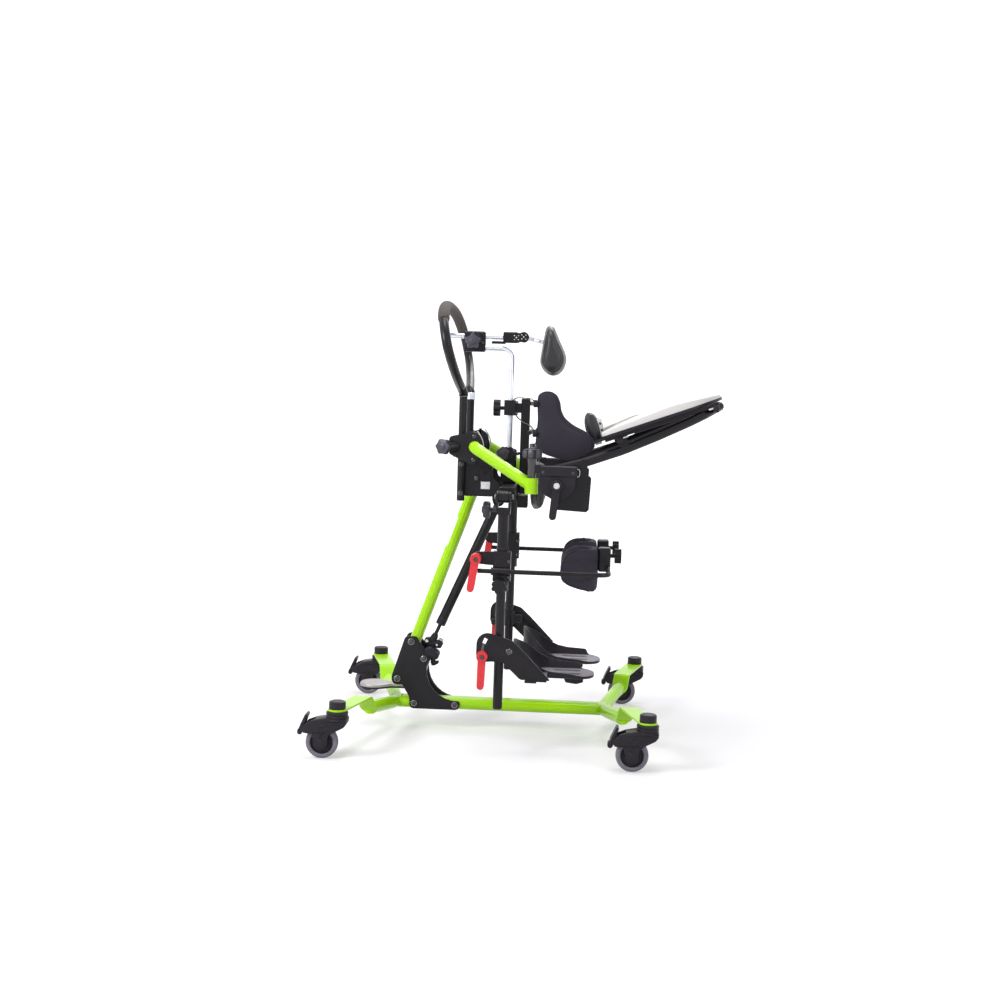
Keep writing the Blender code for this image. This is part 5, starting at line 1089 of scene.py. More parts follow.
def spring_fittings():
    """The gas spring: its cylinder, the thin rod, and the release head between the side plates."""
    dress("gas_spring_cylinder", black_powder_coat)
    lean = math.radians(23.4)
    along = Vector((math.sin(lean), 0, math.cos(lean)))
    low = mm(-224, 0, 177)
    release_head(low, along)
    bm = bmesh.new()
    ring_lathe(bm, in_mm([(11.8, 0), (12.5, 0.6), (12.5, 19), (11.8, 20)]), low + along * 92 * MM, along, 32)
    put("cylinder_sleeve", bm, moulded_nylon, "gas_spring_cylinder")
    bm = bmesh.new()
    top = low + along * 440 * MM
    for _, sign in SIDES:
        washer(bm, top + mm(0, sign * 12.9, 0), Y * sign, 7.5 * MM, 2 * MM, 1 * MM)
        screw(bm, top + mm(0, sign * 13.8, 0), Y * sign, 11 * MM)
    put("spring_pin_heads", bm, black_oxide, "tilt_frame")


# Back, handle and head support


def back_fittings():
    """The back tubes' and housing's screws, the blank labels and the plugs of the tubes."""
    for name in ("back_frame", "hip_beam", "trunk_bar"):
        dress(name, black_powder_coat)
    bm = bmesh.new()
    for _, sign in SIDES:
        for z in (675, 604):
            washer(bm, mm(-136, sign * 129, z), Y * sign, 6.6 * MM, 2 * MM, 1.1 * MM)
            screw(bm, mm(-136, sign * 129.9, z), Y * sign, 10.5 * MM)
        screw(bm, mm(-99, sign * 114.3, 641), Y * sign, 12 * MM)
        screw(bm, mm(-4, sign * 18, 700), Y * sign, 8 * MM)
        for z in (606, 614):
            screw(bm, mm(-6, sign * 214, z), Y * sign, 6 * MM)
    put("back_screws", bm, black_oxide, "tilt_frame")
    bm = bmesh.new()
    for _, sign in SIDES:
        slab(bm, mm(-88, sign * 111.3, 615), mm(-66, sign * 111.9, 633), 0.25 * MM)
    put("blank_labels", bm, blank_label, "tilt_frame")
    bm = bmesh.new()
    for _, sign in SIDES:
        lathe(bm, in_mm([(9.3, 0), (8.6, 1.6), (0, 1.8)]), mm(-136, sign * 120, 587.1), -Z, 24)
    put("tube_plugs", bm, moulded_nylon, "tilt_frame")


def hoop_points(first, last, steps):
    """Points round the handle's oval between two angles, leaning back as it rises."""
    half_wide, middle, half_tall, lean = 315, 950.3, 106.3, 0.217
    points = []
    for step in range(steps + 1):
        angle = first + (last - first) * step / steps
        rise, wide = math.cos(angle), math.sin(angle)
        if rise > 0:
            rise **= 1.45
        else:
            rise, wide = -abs(rise) ** 0.85, math.copysign(abs(wide) ** 0.78, wide)
        z = middle - half_tall * rise
        points.append(mm(-136 - max(0, z - 838) * lean, -half_wide * wide, z))
    return points


def push_handle():
    """The oval hoop in one smooth tube, its collar, and the foam grip over its top."""
    start = math.asin(120 / 315)
    loop = hoop_points(start, 2 * math.pi - start, 96)
    near, far = mm(-136, -120, 838.3), mm(-136, 120, 838.3)
    path = [near, near + mm(0, 0, 8), *loop[1:-1], far + mm(0, 0, 8), far]
    bm = bmesh.new()
    sweep(bm, path, 11.1 * MM, 28)
    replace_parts(put("handle_hoop", bm, black_powder_coat, "tilt_frame", 60), "push_handle")
    bm = bmesh.new()
    collar = in_mm([(9.8, 0), (12.1, 0.6), (12.1, 17), (11.4, 18), (9.8, 18)])
    ring_lathe(bm, collar, mm(-136, 120, 832), Z, 32)
    put("handle_collars", bm, satin_aluminium, "tilt_frame")
    span = math.radians(120)
    grip = hoop_points(span, 2 * math.pi - span, 60)
    radii = [13.8 * MM] * 61
    for index, share in enumerate((0.86, 0.95, 0.99)):
        radii[index] = radii[-1 - index] = 13.8 * MM * share
    bm = bmesh.new()
    sweep(bm, grip, radii, 28)
    piece = put("foam_sleeve", bm, grip_foam, "tilt_frame", 50)
    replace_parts(piece, "handle_grip")


def head_fittings():
    """The aluminium post and bar, the clamp's screws, the hinge's discs and the link's bolts."""
    dress("head_post", satin_aluminium)
    dress("head_bar", black_powder_coat)
    dress("head_clamp", moulded_nylon)
    dress("head_link", satin_aluminium)
    bm = bmesh.new()
    sweep(bm, [mm(-183, 0, 989), mm(-51, 0, 989)], 6.45 * MM, 28)
    put("bar_sleeve", bm, satin_aluminium, "head_bar", 50)
    bm, small = bmesh.new(), bmesh.new()
    for x, z, y in ((-17, 988, 12), (1, 990, 11.5)):
        for _, sign in SIDES:
            place = mm(x, sign * y, z)
            lathe(bm, in_mm([(12.6, -0.2), (12.8, 0.5), (11.9, 1.3), (0, 1.3)]), place, Y * sign, 32)
            for dot in range(4):
                angle = math.pi / 4 + math.pi * dot / 2
                spot = place + Vector((math.cos(angle), 0, math.sin(angle))) * 7 * MM + mm(0, sign * 1.2, 0)
                screw(small, spot, Y * sign, 3.2 * MM, 1 * MM)
            screw(small, place + mm(0, sign * 1.2, 0), Y * sign, 4.4 * MM, 1.6 * MM)
    put("hinge_discs", bm, moulded_nylon, "head_bar")
    put("hinge_screws", small, zinc_plate, "head_bar")
    spots = [(mm(x, sign * 17.9, 973), Y * sign, 6.5) for x in (-140, -101) for _, sign in SIDES]
    screws("clamp_screws", "head_post", spots)
    spots = []
    for at in (22, 40):
        spot = mm(1, 0, 990) + Vector((50, 0, -11)).normalized() * at * MM
        spots += [(spot + mm(0, sign * 3.3, 0), Y * sign, 7, 2.2) for _, sign in SIDES]
    screws("link_screws", "head_pad", spots, zinc_plate)


def head_knob():
    """The star knob on the near side of the head clamp."""
    bm = bmesh.new()
    star_knob(bm, mm(-123, -31, 976), -Y, 20.5 * MM, 15 * MM, 5, 0.24)
    put("head_star", bm, knob_nylon, "head_post", 34)


def arm_clamp(side, sign):
    """The plates that clamp an arm, their pale liner and the star knob behind them."""
    axis = Vector((-0.45, sign * 0.9, 0)).normalized()
    heart = mm(-175, sign * 163, 716.5)
    foot = mm(-146, sign * 146, 717)
    outer = outline([(-165, 741, 9), (-140, 747, 60), (-103, 757, 22), (-90, 741, 24), (-84, 712, 30),
                     (-94, 687, 10), (-106, 673, 7), (-143, 689, 60), (-165, 700, 9)])
    inner = outline([(-125, 757, 20), (-103, 757, 20), (-93, 740, 26), (-91, 712, 30), (-100, 688, 16),
                     (-125, 682, 20)])
    bm = bmesh.new()
    lathe(bm, in_mm([(12.5, 0), (14, 14), (13, 27), (0, 27)]), foot, heart - foot, 24)
    plate(bm, outer, sign * 146.5, sign * 151.9, 1)
    plate(bm, inner, sign * 132, sign * 140, 1)
    slab(bm, mm(-156, sign * 115, 692), mm(-112, sign * 149, 740), 4 * MM)
    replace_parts(put("arm_plates_" + side, bm, black_powder_coat, "tilt_frame", 34), "arm_bracket_" + side)
    bm = bmesh.new()
    rim = [mm(x, sign * 145, z) for x, z in ((-98, 756), (-89, 742), (-83.5, 728), (-82.5, 712), (-86, 700))]
    sweep(bm, smooth_path(rim, 6), 1.5 * MM, 10)
    put("arm_liner_" + side, bm, tray_abs, "tilt_frame", 40)
    bm = bmesh.new()
    star_knob(bm, heart - axis * 3 * MM, axis, 20 * MM, 14 * MM, 6, 0.15)
    put("arm_knob_" + side, bm, knob_nylon, "tilt_frame", 40)


def knobs():
    """The arms' clamps, and the knobs of the tray's carriers and the back frame."""
    for side, sign in SIDES:
        arm_clamp(side, sign)
        bm = bmesh.new()
        star_knob(bm, mm(39, sign * LEG_Y, 698.5), Z, 23 * MM, 21.5 * MM, 8, 0.08)
        put("carrier_knob_" + side, bm, knob_nylon, "tray_carriers", 40)
    bm = bmesh.new()
    star_knob(bm, mm(-66, -60, 561), -X, 21 * MM, 18 * MM, 9, 0.09)
    lathe(bm, in_mm([(5, 0), (5, 34), (0, 34)]), mm(-68, -60, 561), X, 20)
    star_knob(bm, mm(-40, -44, 701), -Y, 17.5 * MM, 13 * MM, 5, 0.14)
    lathe(bm, in_mm([(7, 0), (7, 26), (0, 26)]), mm(-40, -46, 701), Y, 20)
    put("frame_knobs", bm, knob_nylon, "tilt_frame", 40)


def star_knob(bm, place, axis, radius, height, lobes=5, dip=0.16):
    """A moulded clamping knob: rounded lobes round a boss, all in metres."""
    shape = []
    for angle in circle(lobes * 12):
        reach = radius * (1 - dip * (0.5 - 0.5 * math.cos(lobes * angle)) ** 0.8)
        shape.append(Vector((math.sin(angle), math.cos(angle))) * reach)
    turn = turn_to(axis)
    rim = height * 0.22
    layers = [(rim, 0), (rim * 0.3, rim * 0.3), (0, rim), (0, height - rim), (rim * 0.3, height - rim * 0.3),
              (rim, height)]
    layered(bm, shape, layers, lambda x, y, h: place + turn @ Vector((x, y, h)))
    lathe(bm, [(radius * 0.42, 0), (radius * 0.4, height * 0.12), (radius * 0.3, height * 0.18), (0, height * 0.18)],
          place + axis.normalized() * height, axis, 28)


def trunk_fittings():
    """The post clamp's nuts and screws, the wire stays and the side pads' brackets."""
    bm = bmesh.new()
    for z in (827, 801):
        for _, sign in SIDES:
            hex_nut(bm, mm(-14.2, sign * 11, z), X, 8 * MM, 6 * MM)
    for z in (755, 826):
        for _, sign in SIDES:
            screw(bm, mm(28, sign * 40, z), X, 8 * MM)
    put("trunk_screws", bm, black_oxide, "tilt_frame")
    bm = bmesh.new()
    for _, sign in SIDES:
        upper = [(-20, 14, 833), (-12, 16, 839), (6, 20, 839.5), (24, 24, 838), (31, 28, 832)]
        lower = [(-14, 14, 798), (-6, 18, 788), (8, 26, 779), (20, 34, 773), (28, 40, 766), (31, 42, 760)]
        for line in (upper, lower):
            sweep(bm, smooth_path([mm(x, sign * y, z) for x, y, z in line], 6), 1.0 * MM, 10)
    put("wire_stays", bm, black_oxide, "tilt_frame", 60)
    for side, sign in SIDES:
        bm = bmesh.new()
        for z in (755, 826):
            slab(bm, mm(34.6, sign * 128, z - 9), mm(43, sign * 150, z + 9), 2 * MM)
            hex_nut(bm, mm(40, sign * 158.5, z), Y * sign, 9 * MM, 4 * MM)
            sweep(bm, [mm(40, sign * 128, z), mm(40, sign * 159, z)], 5.5 * MM, 20)
        put("side_brackets_" + side, bm, moulded_nylon, "side_pad_" + side)


# Tray


def tray_fittings():
    """The arms, the tray's carriers, levers, frame and top, with their screws, pins and rim."""
    knobs()
    head_knob()
    for side, sign in SIDES:
        dress("arm_" + side, lime_powder_coat, 28)
        for name in ("tray_carrier_", "tray_lever_"):
            dress(name + side, moulded_nylon)
        bm = bmesh.new()
        ring_lathe(bm, in_mm([(9, 0), (10.02, 0.4), (10.02, 45), (9, 45.4)]), mm(39, sign * LEG_Y, 653.6), Z, 32)
        put("post_sleeve_" + side, bm, black_oxide, "tray_carriers", 40)
        spots = [(mm(x, sign * 151.8, z), Y * sign, 11) for x, z in ((-104, 743), (-105, 687))]
        screws("bracket_screws_" + side, "tilt_frame", spots)
        bm = bmesh.new()
        washer(bm, mm(98, sign * 279, 638), Y * sign, 12.6 * MM, 7.5 * MM, 2.2 * MM)
        put("lever_ring_" + side, bm, moulded_nylon, "tray_lever_" + side)
        bm = bmesh.new()
        lathe(bm, in_mm([(7.6, 0), (7.6, 1.4), (6.6, 2.2), (0, 2.3)]), mm(98, sign * 278.6, 638), Y * sign, 32)
        put("lever_cap_" + side, bm, blank_label, "tray_lever_" + side)
        bm = bmesh.new()
        for x in (65, 135):
            lathe(bm, in_mm([(3.6, 0), (3.4, 0.5), (0, 0.6)]), mm(x, sign * 261.8, 668), Y * sign, 24)
        put("carrier_plugs_" + side, bm, black_oxide, "tray_carriers", 40)
        bm = bmesh.new()
        ring = [mm(146 + 4.5 * math.cos(a), sign * 256, 668 + 9 * math.sin(a)) for a in circle(24)]
        sweep(bm, ring, 0.8 * MM, 10, True)
        put("carrier_rings_" + side, bm, zinc_plate, "tray_carriers", 40)
        dress_tray_side(side, sign)
    dress("tray_frame", black_powder_coat)
    tray_top()


def tray_place(x, y, z):
    """A place on the tray: X up its slope from the rear edge, Z above its middle."""
    turn = Matrix.Translation(mm(199, 0, 754)) @ Matrix.Rotation(-SLOPE, 4, "Y")
    return turn @ mm(x, y, z - 3.5)


def onto_tray(bm, start=0):
    """Takes a form's newer points from the tray's own directions to their place."""
    bm.verts.ensure_lookup_table()
    for vert in bm.verts[start:]:
        vert.co = tray_place(*(vert.co / MM))


def dress_tray_side(side, sign):
    """The clamps that hold the tray's rail to the bowed tube, with their silver pins."""
    bm = bmesh.new()
    pins = bmesh.new()
    for x, reach in ((39, 1), (272, -1)):
        spot = tray_place(x, sign * 223, -14)
        ahead = (tray_place(1, 0, 0) - tray_place(0, 0, 0)).normalized()
        slab(bm, spot + mm(-7, -15, -12), spot + mm(7, 13, 5), 2 * MM)
        screw(bm, spot + mm(0, sign * 12.8, -3), Y * sign, 9 * MM, 3 * MM)
        start = spot + mm(0, sign * 10, 0) + ahead * reach * 6 * MM
        lathe(pins, in_mm([(2.5, 0), (2.5, 11.5), (2, 12.5), (0, 12.6)]), start, ahead * reach, 20)
    start = len(bm.verts)
    slab(bm, mm(74, sign * 212, -14), mm(262, sign * 232, -3), 1.5 * MM)
    onto_tray(bm, start)
    put("rail_clamps_" + side, bm, moulded_nylon, "tray")
    put("rail_pins_" + side, pins, zinc_plate, "tray")


def tray_edge(steps=10):
    """The tray's outline with its cut-out, in millimetres."""
    corners = [(0, -250), (TRAY_LONG, -250), (TRAY_LONG, 250), (0, 250), (0, 130), (104, 130), (104, -130), (0, -130)]
    radii = [25, 125, 125, 25, 20, 80, 80, 20]
    points = [Vector(corner) for corner in corners]
    edge = []
    for index, radius in enumerate(radii):
        edge += round_corner(points[index - 1], points[index], points[(index + 1) % 8], radius, steps)
    return edge


def tray_skin(profile):
    """A closed form round the tray's outline; each layer gives inset, height and its share of the lip."""
    bm = bmesh.new()
    lip, swell = 6, 13

    def place(x, y, height, share):
        run = min(1, max(0, x / TRAY_LONG))
        return tray_place(x, y, height + (lip + swell * math.sin(math.pi * run ** 0.85)) * share)
    layered(bm, tray_edge(), profile, place)
    return bm


def tray_top():
    """The tray: a pale moulded top with a raised rim, on a board with a dark edge."""
    rim = [(3, -2.5, 0), (3, 2.5, 0), (0.7, 3.4, 0), (0.8, 4.2, 0), (1.5, 2.4, 1), (2.2, 3.2, 1), (3.5, 3.6, 1),
           (5.5, 3.2, 1), (7.5, 2, 1), (10, 1.6, 1)]
    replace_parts(put("tray_board", tray_skin(rim), tray_abs, "tray", 40), "tray_top")
    band = [(6, -3.5, 0), (1, -3.5, 0), (0.1, -2.6, 0), (-0.3, 0, 0), (0.1, 2.8, 0), (1, 3.4, 0), (6, 3.0, 0)]
    put("tray_edge_band", tray_skin(band), moulded_nylon, "tray", 40)


# Legs, knees and feet


def leg_fittings():
    """The legs' tubes, clamps and screws, and the knee rods with their red levers."""
    for side, sign in SIDES:
        for name in ("leg_upper_", "leg_lower_", "knee_rod_"):
            dress(name + side, black_powder_coat)
        dress("knee_lever_" + side, red_nylon)
        bm = bmesh.new()
        for z in (457, 420):
            for face in (-1, 1):
                y = sign * LEG_Y + face * (17 if face * sign < 0 else 16)
                screw(bm, mm(-6.5, y, z), Y * face, 9 * MM)
        for face, x in ((-1, -43), (1, -5)):
            screw(bm, mm(x, sign * LEG_Y, 607), X * face, 12 * MM)
        put("leg_screws_" + side, bm, black_oxide, "leg_upper_" + side)
        bm = bmesh.new()
        ring_lathe(bm, in_mm([(12.4, 0), (13.6, 0.8), (13.6, 6), (12.4, 7)]), mm(-24, sign * LEG_Y, 482), Z, 32)
        put("tube_collar_" + side, bm, moulded_nylon, "leg_upper_" + side)
        screws("knee_lever_screw_" + side, "knee_lever_" + side, [(mm(-84, sign * 292, 462), Y * sign, 11)])
        bm = bmesh.new()
        lathe(bm, in_mm([(10.9, 0), (10.2, 2), (0, 2.2)]), mm(-24, sign * LEG_Y, 108), -Z, 28)
        screw(bm, mm(0, sign * 275, 246), Y * sign, 14 * MM, 2.6 * MM)
        put("leg_end_" + side, bm, black_oxide, "leg_lower_" + side)


def foot_mat(side, sign, heel):
    """The rubber mat on a foot plate, with two rounded slots."""
    middle = sign * FOOT_Y
    toe = heel + 198.5
    shape = outline([(heel + 66, middle - 48, 26), (toe, middle - 51, 38), (toe, middle + 51, 38),
                     (heel + 66, middle + 48, 26)])
    bm = bmesh.new()
    layered(bm, shape, [(0.8, 169.6), (0, 170.4), (0, 171.6), (0.8, 172.3)], mm)
    mat = put("foot_mat_" + side, bm, sole_rubber, "foot_" + side, 40)
    start, end = heel + 100, heel + 168
    cutter = bmesh.new()
    for offset in (-21, 21):
        low, high = middle + offset - 9, middle + offset + 9
        slot = outline([(start, low, 8.9), (end, low, 8.9), (end, high, 8.9), (start, high, 8.9)])
        layered(cutter, slot, [(0, 165), (0, 180)], mm)
    cut_through(mat, cutter)


def side_bracket(side, sign):
    """The plate that carries a foot plate, with the arc slot in which its angle is set."""
    shape = outline([(-76, 295, 26), (-32, 285, 30), (7, 273, 16), (36, 246, 60), (99, 181.5, 2), (28, 181.5, 14),
                     (-13, 220, 10), (-40, 222, 40), (-77, 218, 20)])
    bm = bmesh.new()
    plate(bm, shape, sign * 267.6, sign * 272.1, 0.7)
    bracket = put("side_bracket_" + side, bm, black_powder_coat, "foot_" + side, 34)
    slot = []
    for step in range(33):
        angle = math.radians(151 + 45 * min(step, 32 - step) / 16)
        reach = SLOT_REACH + (4 if step <= 16 else -4)
        slot.append(Vector((reach * math.cos(angle), FOOT_PIVOT_Z + reach * math.sin(angle))))
    cutter = bmesh.new()
    low, high = sorted((sign * 260, sign * 280))
    layered(cutter, slot, [(0, low), (0, high)], lambda x, z, y: mm(x, y, z))
    cut_through(bracket, cutter)
    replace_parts(bracket, "foot_bracket_" + side)


def foot_crossbar(side, sign):
    """The bar from a foot plate's bracket to under the plate, and the clamp below its toe."""
    bm = bmesh.new()
    slab(bm, mm(42, sign * 151, 177.4), mm(90, sign * 270, 181.4), 1 * MM)
    slab(bm, mm(38, sign * 216, 172), mm(66, sign * 262, 178), 2 * MM)
    clamp = outline([(128, 164, 2), (176, 164, 2), (178, 152, 5), (160, 147, 5), (134, 150, 5)])
    plate(bm, clamp, sign * FOOT_Y - 24, sign * FOOT_Y + 24, 2)
    put("foot_crossbar_" + side, bm, black_powder_coat, "foot_" + side)


def foot_fittings():
    """The foot plates with their slotted mats, the slotted brackets and the red levers."""
    for side, sign, heel in (("near", -1, 3), ("far", 1, 21)):
        dress("foot_lever_" + side, red_nylon)
        bm = bmesh.new()
        foot_shell(bm, heel, sign * FOOT_Y)
        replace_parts(put("foot_tray_" + side, bm, moulded_nylon, "foot_" + side, 40), "foot_plate_" + side)
        foot_mat(side, sign, heel)
        side_bracket(side, sign)
        foot_crossbar(side, sign)
        arc = [math.radians(163 + 27 * step / 8) for step in range(9)]
        filler = [mm(SLOT_REACH * math.cos(a), sign * 270.5, FOOT_PIVOT_Z + SLOT_REACH * math.sin(a)) for a in arc]
        bm = bmesh.new()
        sweep(bm, filler, 4.6 * MM, 12)
        screw(bm, mm(0, sign * 272, FOOT_PIVOT_Z), Y * sign, 11 * MM, 2.4 * MM)
        put("bracket_screws_low_" + side, bm, black_oxide, "foot_" + side)
        bm = bmesh.new()
        washer(bm, mm(0, sign * 271.9, FOOT_PIVOT_Z), Y * sign, 7.4 * MM, 5.2 * MM, 0.9 * MM)
        put("pivot_washer_" + side, bm, zinc_plate, "foot_" + side)
        screws("foot_lever_screw_" + side, "foot_lever_" + side, [(mm(-62, sign * 291.6, 235), Y * sign, 11)])


def cut_through(obj, cutter_bm):
    """Cuts a closed form out of a piece."""
    tool = add_object("cutter", mesh_of("cutter", cutter_bm))
    step = obj.modifiers.new("slots", "BOOLEAN")
    step.operation = "DIFFERENCE"
    step.object = tool
    bake(obj)
    bpy.data.objects.remove(tool)


# Studio


def seen_rays(tree):
    """A socket that is one for the rays of the camera, of mirrored light and of light let through."""
    rays = node(tree, "ShaderNodeLightPath").outputs
    seen = node(tree, "ShaderNodeMath", links={0: rays["Is Camera Ray"], 1: rays["Is Glossy Ray"]}, operation="MAXIMUM")
    through = {0: seen.outputs[0], 1: rays["Is Transmission Ray"]}
    return node(tree, "ShaderNodeMath", links=through, operation="MAXIMUM").outputs[0]


def studio_floor():
    """A pale floor that runs up into a backdrop; it keeps the shadows under the frame, and its glow is weaker near the
    frame, which paints shade round it.
    """
    bm = bmesh.new()
    half = 6.0
    profile = [(-4.0, 0.0), (3.0, 0.0)]
    for step in range(1, 13):
        angle = math.pi / 2 * step / 12
        profile.append((3.0 + 1.5 * math.sin(angle), 1.5 - 1.5 * math.cos(angle)))
    profile.append((4.5, 6.0))
    rows = [[bm.verts.new((x, y, z)) for x in (-half, half)] for y, z in profile]
    for low, high in zip(rows, rows[1:]):
        bm.faces.new((low[0], low[1], high[1], high[0]))
    mesh = bpy.data.meshes.new("studio_floor")
    bm.to_mesh(mesh)
    bm.free()
    mesh.shade_smooth()
    obj = add_object("studio_floor", mesh)
    material = bpy.data.materials.new("backdrop_paper")
    material.use_nodes = True
    tree = material.node_tree
    tree.nodes.clear()
    out = node(tree, "ShaderNodeOutputMaterial")
    paper = node(tree, "ShaderNodeBsdfDiffuse", {"Color": (0.66, 0.645, 0.67, 1)})
    place = node(tree, "ShaderNodeTexCoord").outputs["Object"]
    # Painted shade: the glow is weakest near the frame and grows away from it, so the floor round the frame looks
    # greyer than the lamps alone make it.
    away = node(tree, "ShaderNodeVectorMath", links={0: place}, operation="LENGTH")
    strength = node(
        tree, "ShaderNodeMapRange", {"From Min": 0.5, "From Max": 2.2, "To Min": 0.36, "To Max": 0.85},
        {"Value": away.outputs["Value"]}, interpolation_type="SMOOTHSTEP",
    )
    glow = node(tree, "ShaderNodeEmission", {"Color": (1, 1, 1, 1)}, {"Strength": strength.outputs["Result"]})
    none = node(tree, "ShaderNodeEmission", {"Strength": 0.0})
    lit = node(tree, "ShaderNodeMixShader", links={0: seen_rays(tree), 1: none.outputs[0], 2: glow.outputs[0]})
    both = node(tree, "ShaderNodeAddShader", links={0: paper.outputs[0], 1: lit.outputs[0]})
    tree.links.new(both.outputs[0], out.inputs["Surface"])
    mesh.materials.append(material)


def studio_lights():
    """Soft lamps from above, both sides and the front, and a white world that the camera sees as white."""
    studio = settings().studio
    for name, place, size, power in (
        ("key_lamp", (-1.8, -1.5, 1.7), 0.9, 0.95), ("fill_lamp", (2.4, -2.1, 1.6), 1.0, 0.4),
        ("back_lamp", (0.4, 2.2, 2.8), 1.6, 0.8), ("top_lamp", (0.0, -0.2, 3.4), 1.3, 0.8),
    ):
        lamp = bpy.data.lights.new(name, "AREA")
        lamp.shape = "DISK"
        lamp.size = size
        lamp.energy = power * studio.lamp_power
        obj = add_object(name, lamp)
        obj.location = place
        obj.rotation_euler = (Vector((0, 0, 0.55)) - Vector(place)).to_track_quat("-Z", "Y").to_euler()
    world = bpy.data.worlds.new("studio_world")
    world.use_nodes = True
    tree = world.node_tree
    tree.nodes.clear()
    out = node(tree, "ShaderNodeOutputWorld")
    white = node(tree, "ShaderNodeBackground", {"Color": (1, 1, 1, 1), "Strength": 1.0})
    dim = node(tree, "ShaderNodeBackground", {"Color": (1, 1, 1, 1), "Strength": studio.world_light})
    mix = node(tree, "ShaderNodeMixShader", links={0: seen_rays(tree), 1: dim.outputs[0], 2: white.outputs[0]})
    tree.links.new(mix.outputs[0], out.inputs["Surface"])
    bpy.context.scene.world = world


def studio_camera():
    """The picture's camera: slightly above, a little from the left, and turned a hair clockwise."""
    studio = settings().studio
    data = bpy.data.cameras.new("picture_camera")
    data.sensor_width = 36
    data.lens = studio.lens
    obj = add_object("picture_camera", data)
    target = Vector((-0.046, 0, 0.582))
    yaw, pitch, roll = 0.0518, 0.0685, 0.0315
    back = Vector((math.sin(yaw) * math.cos(pitch), -math.cos(yaw) * math.cos(pitch), math.sin(pitch)))
    obj.location = target + back * studio.distance
    look = back.to_track_quat("Z", "Y").to_matrix().to_4x4()
    obj.rotation_euler = (look @ Matrix.Rotation(roll, 4, "Z")).to_euler()
    bpy.context.scene.camera = obj


# Settings


class WheelSettings(bpy.types.PropertyGroup):
    """The casters' wheels."""

    diameter: FloatProperty(name="Diameter", description="Wheel diameter over the tyre", default=0.075, unit="LENGTH")
    width: FloatProperty(name="Width", description="Width of the tyre", default=0.022, unit="LENGTH")


class PadSettings(bpy.types.PropertyGroup):
    """The trunk pads."""

    side_thickness: FloatProperty(
        name="Side pad thickness", description="Thickness of a trunk pad at its crown", default=0.034, unit="LENGTH"
    )
    side_crown: FloatProperty(
        name="Side pad crown", description="How far a trunk pad's face rises from its seams", default=0.004,
        unit="LENGTH",
    )
    piping: FloatProperty(name="Piping radius", description="Radius of the piped seams", default=0.0014, unit="LENGTH")


class ColourSettings(bpy.types.PropertyGroup):
    """The colours of the main finishes."""

    lime: FloatVectorProperty(
        name="Lime enamel", description="Base and mast", subtype="COLOR", size=3, min=0, max=1,
        default=linear("#a8e400"),
    )
    black_steel: FloatVectorProperty(
        name="Black enamel", description="Back, arms and legs", subtype="COLOR", size=3, min=0, max=1,
        default=linear("#17141a"),
    )
    moulding: FloatVectorProperty(
        name="Black nylon", description="Clamps, housings and knobs", subtype="COLOR", size=3, min=0, max=1,
        default=linear("#26232a"),
    )
    knit: FloatVectorProperty(
        name="Neoprene", description="Trunk and knee pads", subtype="COLOR", size=3, min=0, max=1,
        default=linear("#27222f"),
    )
    vinyl: FloatVectorProperty(
        name="Vinyl", description="Head, hip and elbow pads", subtype="COLOR", size=3, min=0, max=1,
        default=linear("#221f25"),
    )
    knobs: FloatVectorProperty(
        name="Knobs", description="Moulded clamping knobs", subtype="COLOR", size=3, min=0, max=1,
        default=linear("#3f3d49"),
    )
    levers: FloatVectorProperty(
        name="Levers", description="Knee and foot levers", subtype="COLOR", size=3, min=0, max=1,
        default=linear("#e2333a"),
    )
    tyre: FloatVectorProperty(
        name="Tyre", description="The casters' tyres", subtype="COLOR", size=3, min=0, max=1,
        default=linear("#77747f"),
    )
    tray: FloatVectorProperty(
        name="Tray", description="The tray's top", subtype="COLOR", size=3, min=0, max=1, default=linear("#d9d7d5"),
    )


class StudioSettings(bpy.types.PropertyGroup):
    """The lamps and the camera."""

    lamp_power: FloatProperty(name="Lamp power", description="Power of the strongest lamp", default=42.0, unit="POWER")
    world_light: FloatProperty(name="World light", description="Strength of the light from all round", default=0.45)
    lens: FloatProperty(name="Lens", description="The camera's focal length in millimetres", default=49.85)
    distance: FloatProperty(
        name="Distance", description="From the camera to the middle of the frame", default=3.4796, unit="LENGTH"
    )


class StanderSettings(bpy.types.PropertyGroup):
    """All the settings of the standing frame."""

    wheels: PointerProperty(name="Wheels", description="Sizes of the wheels", type=WheelSettings)
    pads: PointerProperty(name="Pads", description="Sizes of the pads", type=PadSettings)
    colours: PointerProperty(name="Colours", description="Colours of the finishes", type=ColourSettings)
    studio: PointerProperty(name="Studio", description="Lamps and camera", type=StudioSettings)


# Operators


class STANDER_OT_casters(bpy.types.Operator):
    """Add the wheels and the casters' fittings"""

    bl_idname = "stander.casters"
    bl_label = "Casters"

    def execute(self, context):
        caster_fittings()
        return {"FINISHED"}


class STANDER_OT_base(bpy.types.Operator):
    """Finish the base, the mast, the gas spring and the foot pedal"""

    bl_idname = "stander.base"
    bl_label = "Base and mast"

    def execute(self, context):
        base_fittings()
        spring_fittings()
        return {"FINISHED"}


class STANDER_OT_back(bpy.types.Operator):
    """Finish the back frame and add the push handle with its foam grip"""

    bl_idname = "stander.back"
    bl_label = "Back and push handle"

    def execute(self, context):
        back_fittings()
        push_handle()
        return {"FINISHED"}


class STANDER_OT_head(bpy.types.Operator):
    """Finish the head support and add its cushion"""

    bl_idname = "stander.head"
    bl_label = "Head support"

    def execute(self, context):
        head_fittings()
        head_cushion()
        return {"FINISHED"}


class STANDER_OT_trunk(bpy.types.Operator):
    """Add the trunk pads, the hip pad and their fittings"""

    bl_idname = "stander.trunk"
    bl_label = "Trunk and hip pads"

    def execute(self, context):
        trunk_fittings()
        side_pads()
        hip_cushion()
        return {"FINISHED"}


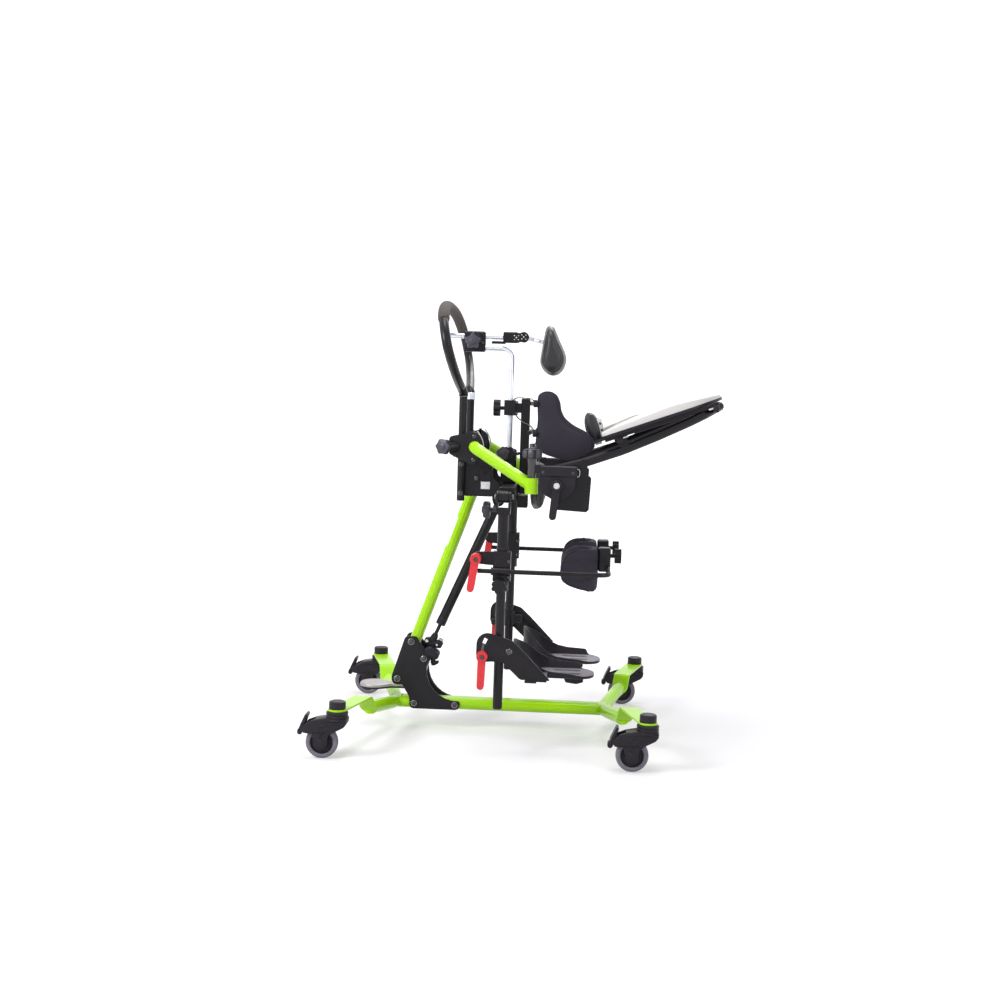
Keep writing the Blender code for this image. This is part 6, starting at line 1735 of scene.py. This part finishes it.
class STANDER_OT_tray(bpy.types.Operator):
    """Finish the tray, its arms and clamps, and add the elbow pads"""

    bl_idname = "stander.tray"
    bl_label = "Tray"

    def execute(self, context):
        tray_fittings()
        elbow_cushions()
        return {"FINISHED"}


class STANDER_OT_legs(bpy.types.Operator):
    """Finish the legs, the knee pads and the foot plates"""

    bl_idname = "stander.legs"
    bl_label = "Legs and feet"

    def execute(self, context):
        leg_fittings()
        knee_cushions()
        foot_fittings()
        return {"FINISHED"}


class STANDER_OT_studio(bpy.types.Operator):
    """Add the floor, the lamps and the camera"""

    bl_idname = "stander.studio"
    bl_label = "Studio"

    def execute(self, context):
        studio_floor()
        studio_lights()
        studio_camera()
        context.scene.view_settings.view_transform = "Standard"
        return {"FINISHED"}


class STANDER_PT_panel(bpy.types.Panel):
    """Lists the frame's pieces and settings"""

    bl_idname = "STANDER_PT_panel"
    bl_label = "Standing frame"
    bl_space_type = "VIEW_3D"
    bl_region_type = "UI"
    bl_category = "Stander"

    def draw(self, context):
        stander = context.scene.stander
        for group in (stander.wheels, stander.pads, stander.colours, stander.studio):
            column = self.layout.column(align=True)
            for name in group.__annotations__:
                column.prop(group, name)
        for operator in OPERATORS:
            self.layout.operator(operator.bl_idname)


OPERATORS = (
    STANDER_OT_casters, STANDER_OT_base, STANDER_OT_back, STANDER_OT_head, STANDER_OT_trunk, STANDER_OT_tray,
    STANDER_OT_legs, STANDER_OT_studio,
)
CLASSES = (WheelSettings, PadSettings, ColourSettings, StudioSettings, StanderSettings, *OPERATORS, STANDER_PT_panel)


def register():
    for item in CLASSES:
        bpy.utils.register_class(item)
    bpy.types.Scene.stander = PointerProperty(type=StanderSettings)


def unregister():
    del bpy.types.Scene.stander
    for item in reversed(CLASSES):
        bpy.utils.unregister_class(item)


def main():
    """Makes every piece and the studio."""
    register()
    bpy.ops.stander.studio()
    for name in ("casters", "base", "back", "head", "trunk", "tray", "legs"):
        getattr(bpy.ops.stander, name)()


if __name__ == "__main__":
    main()
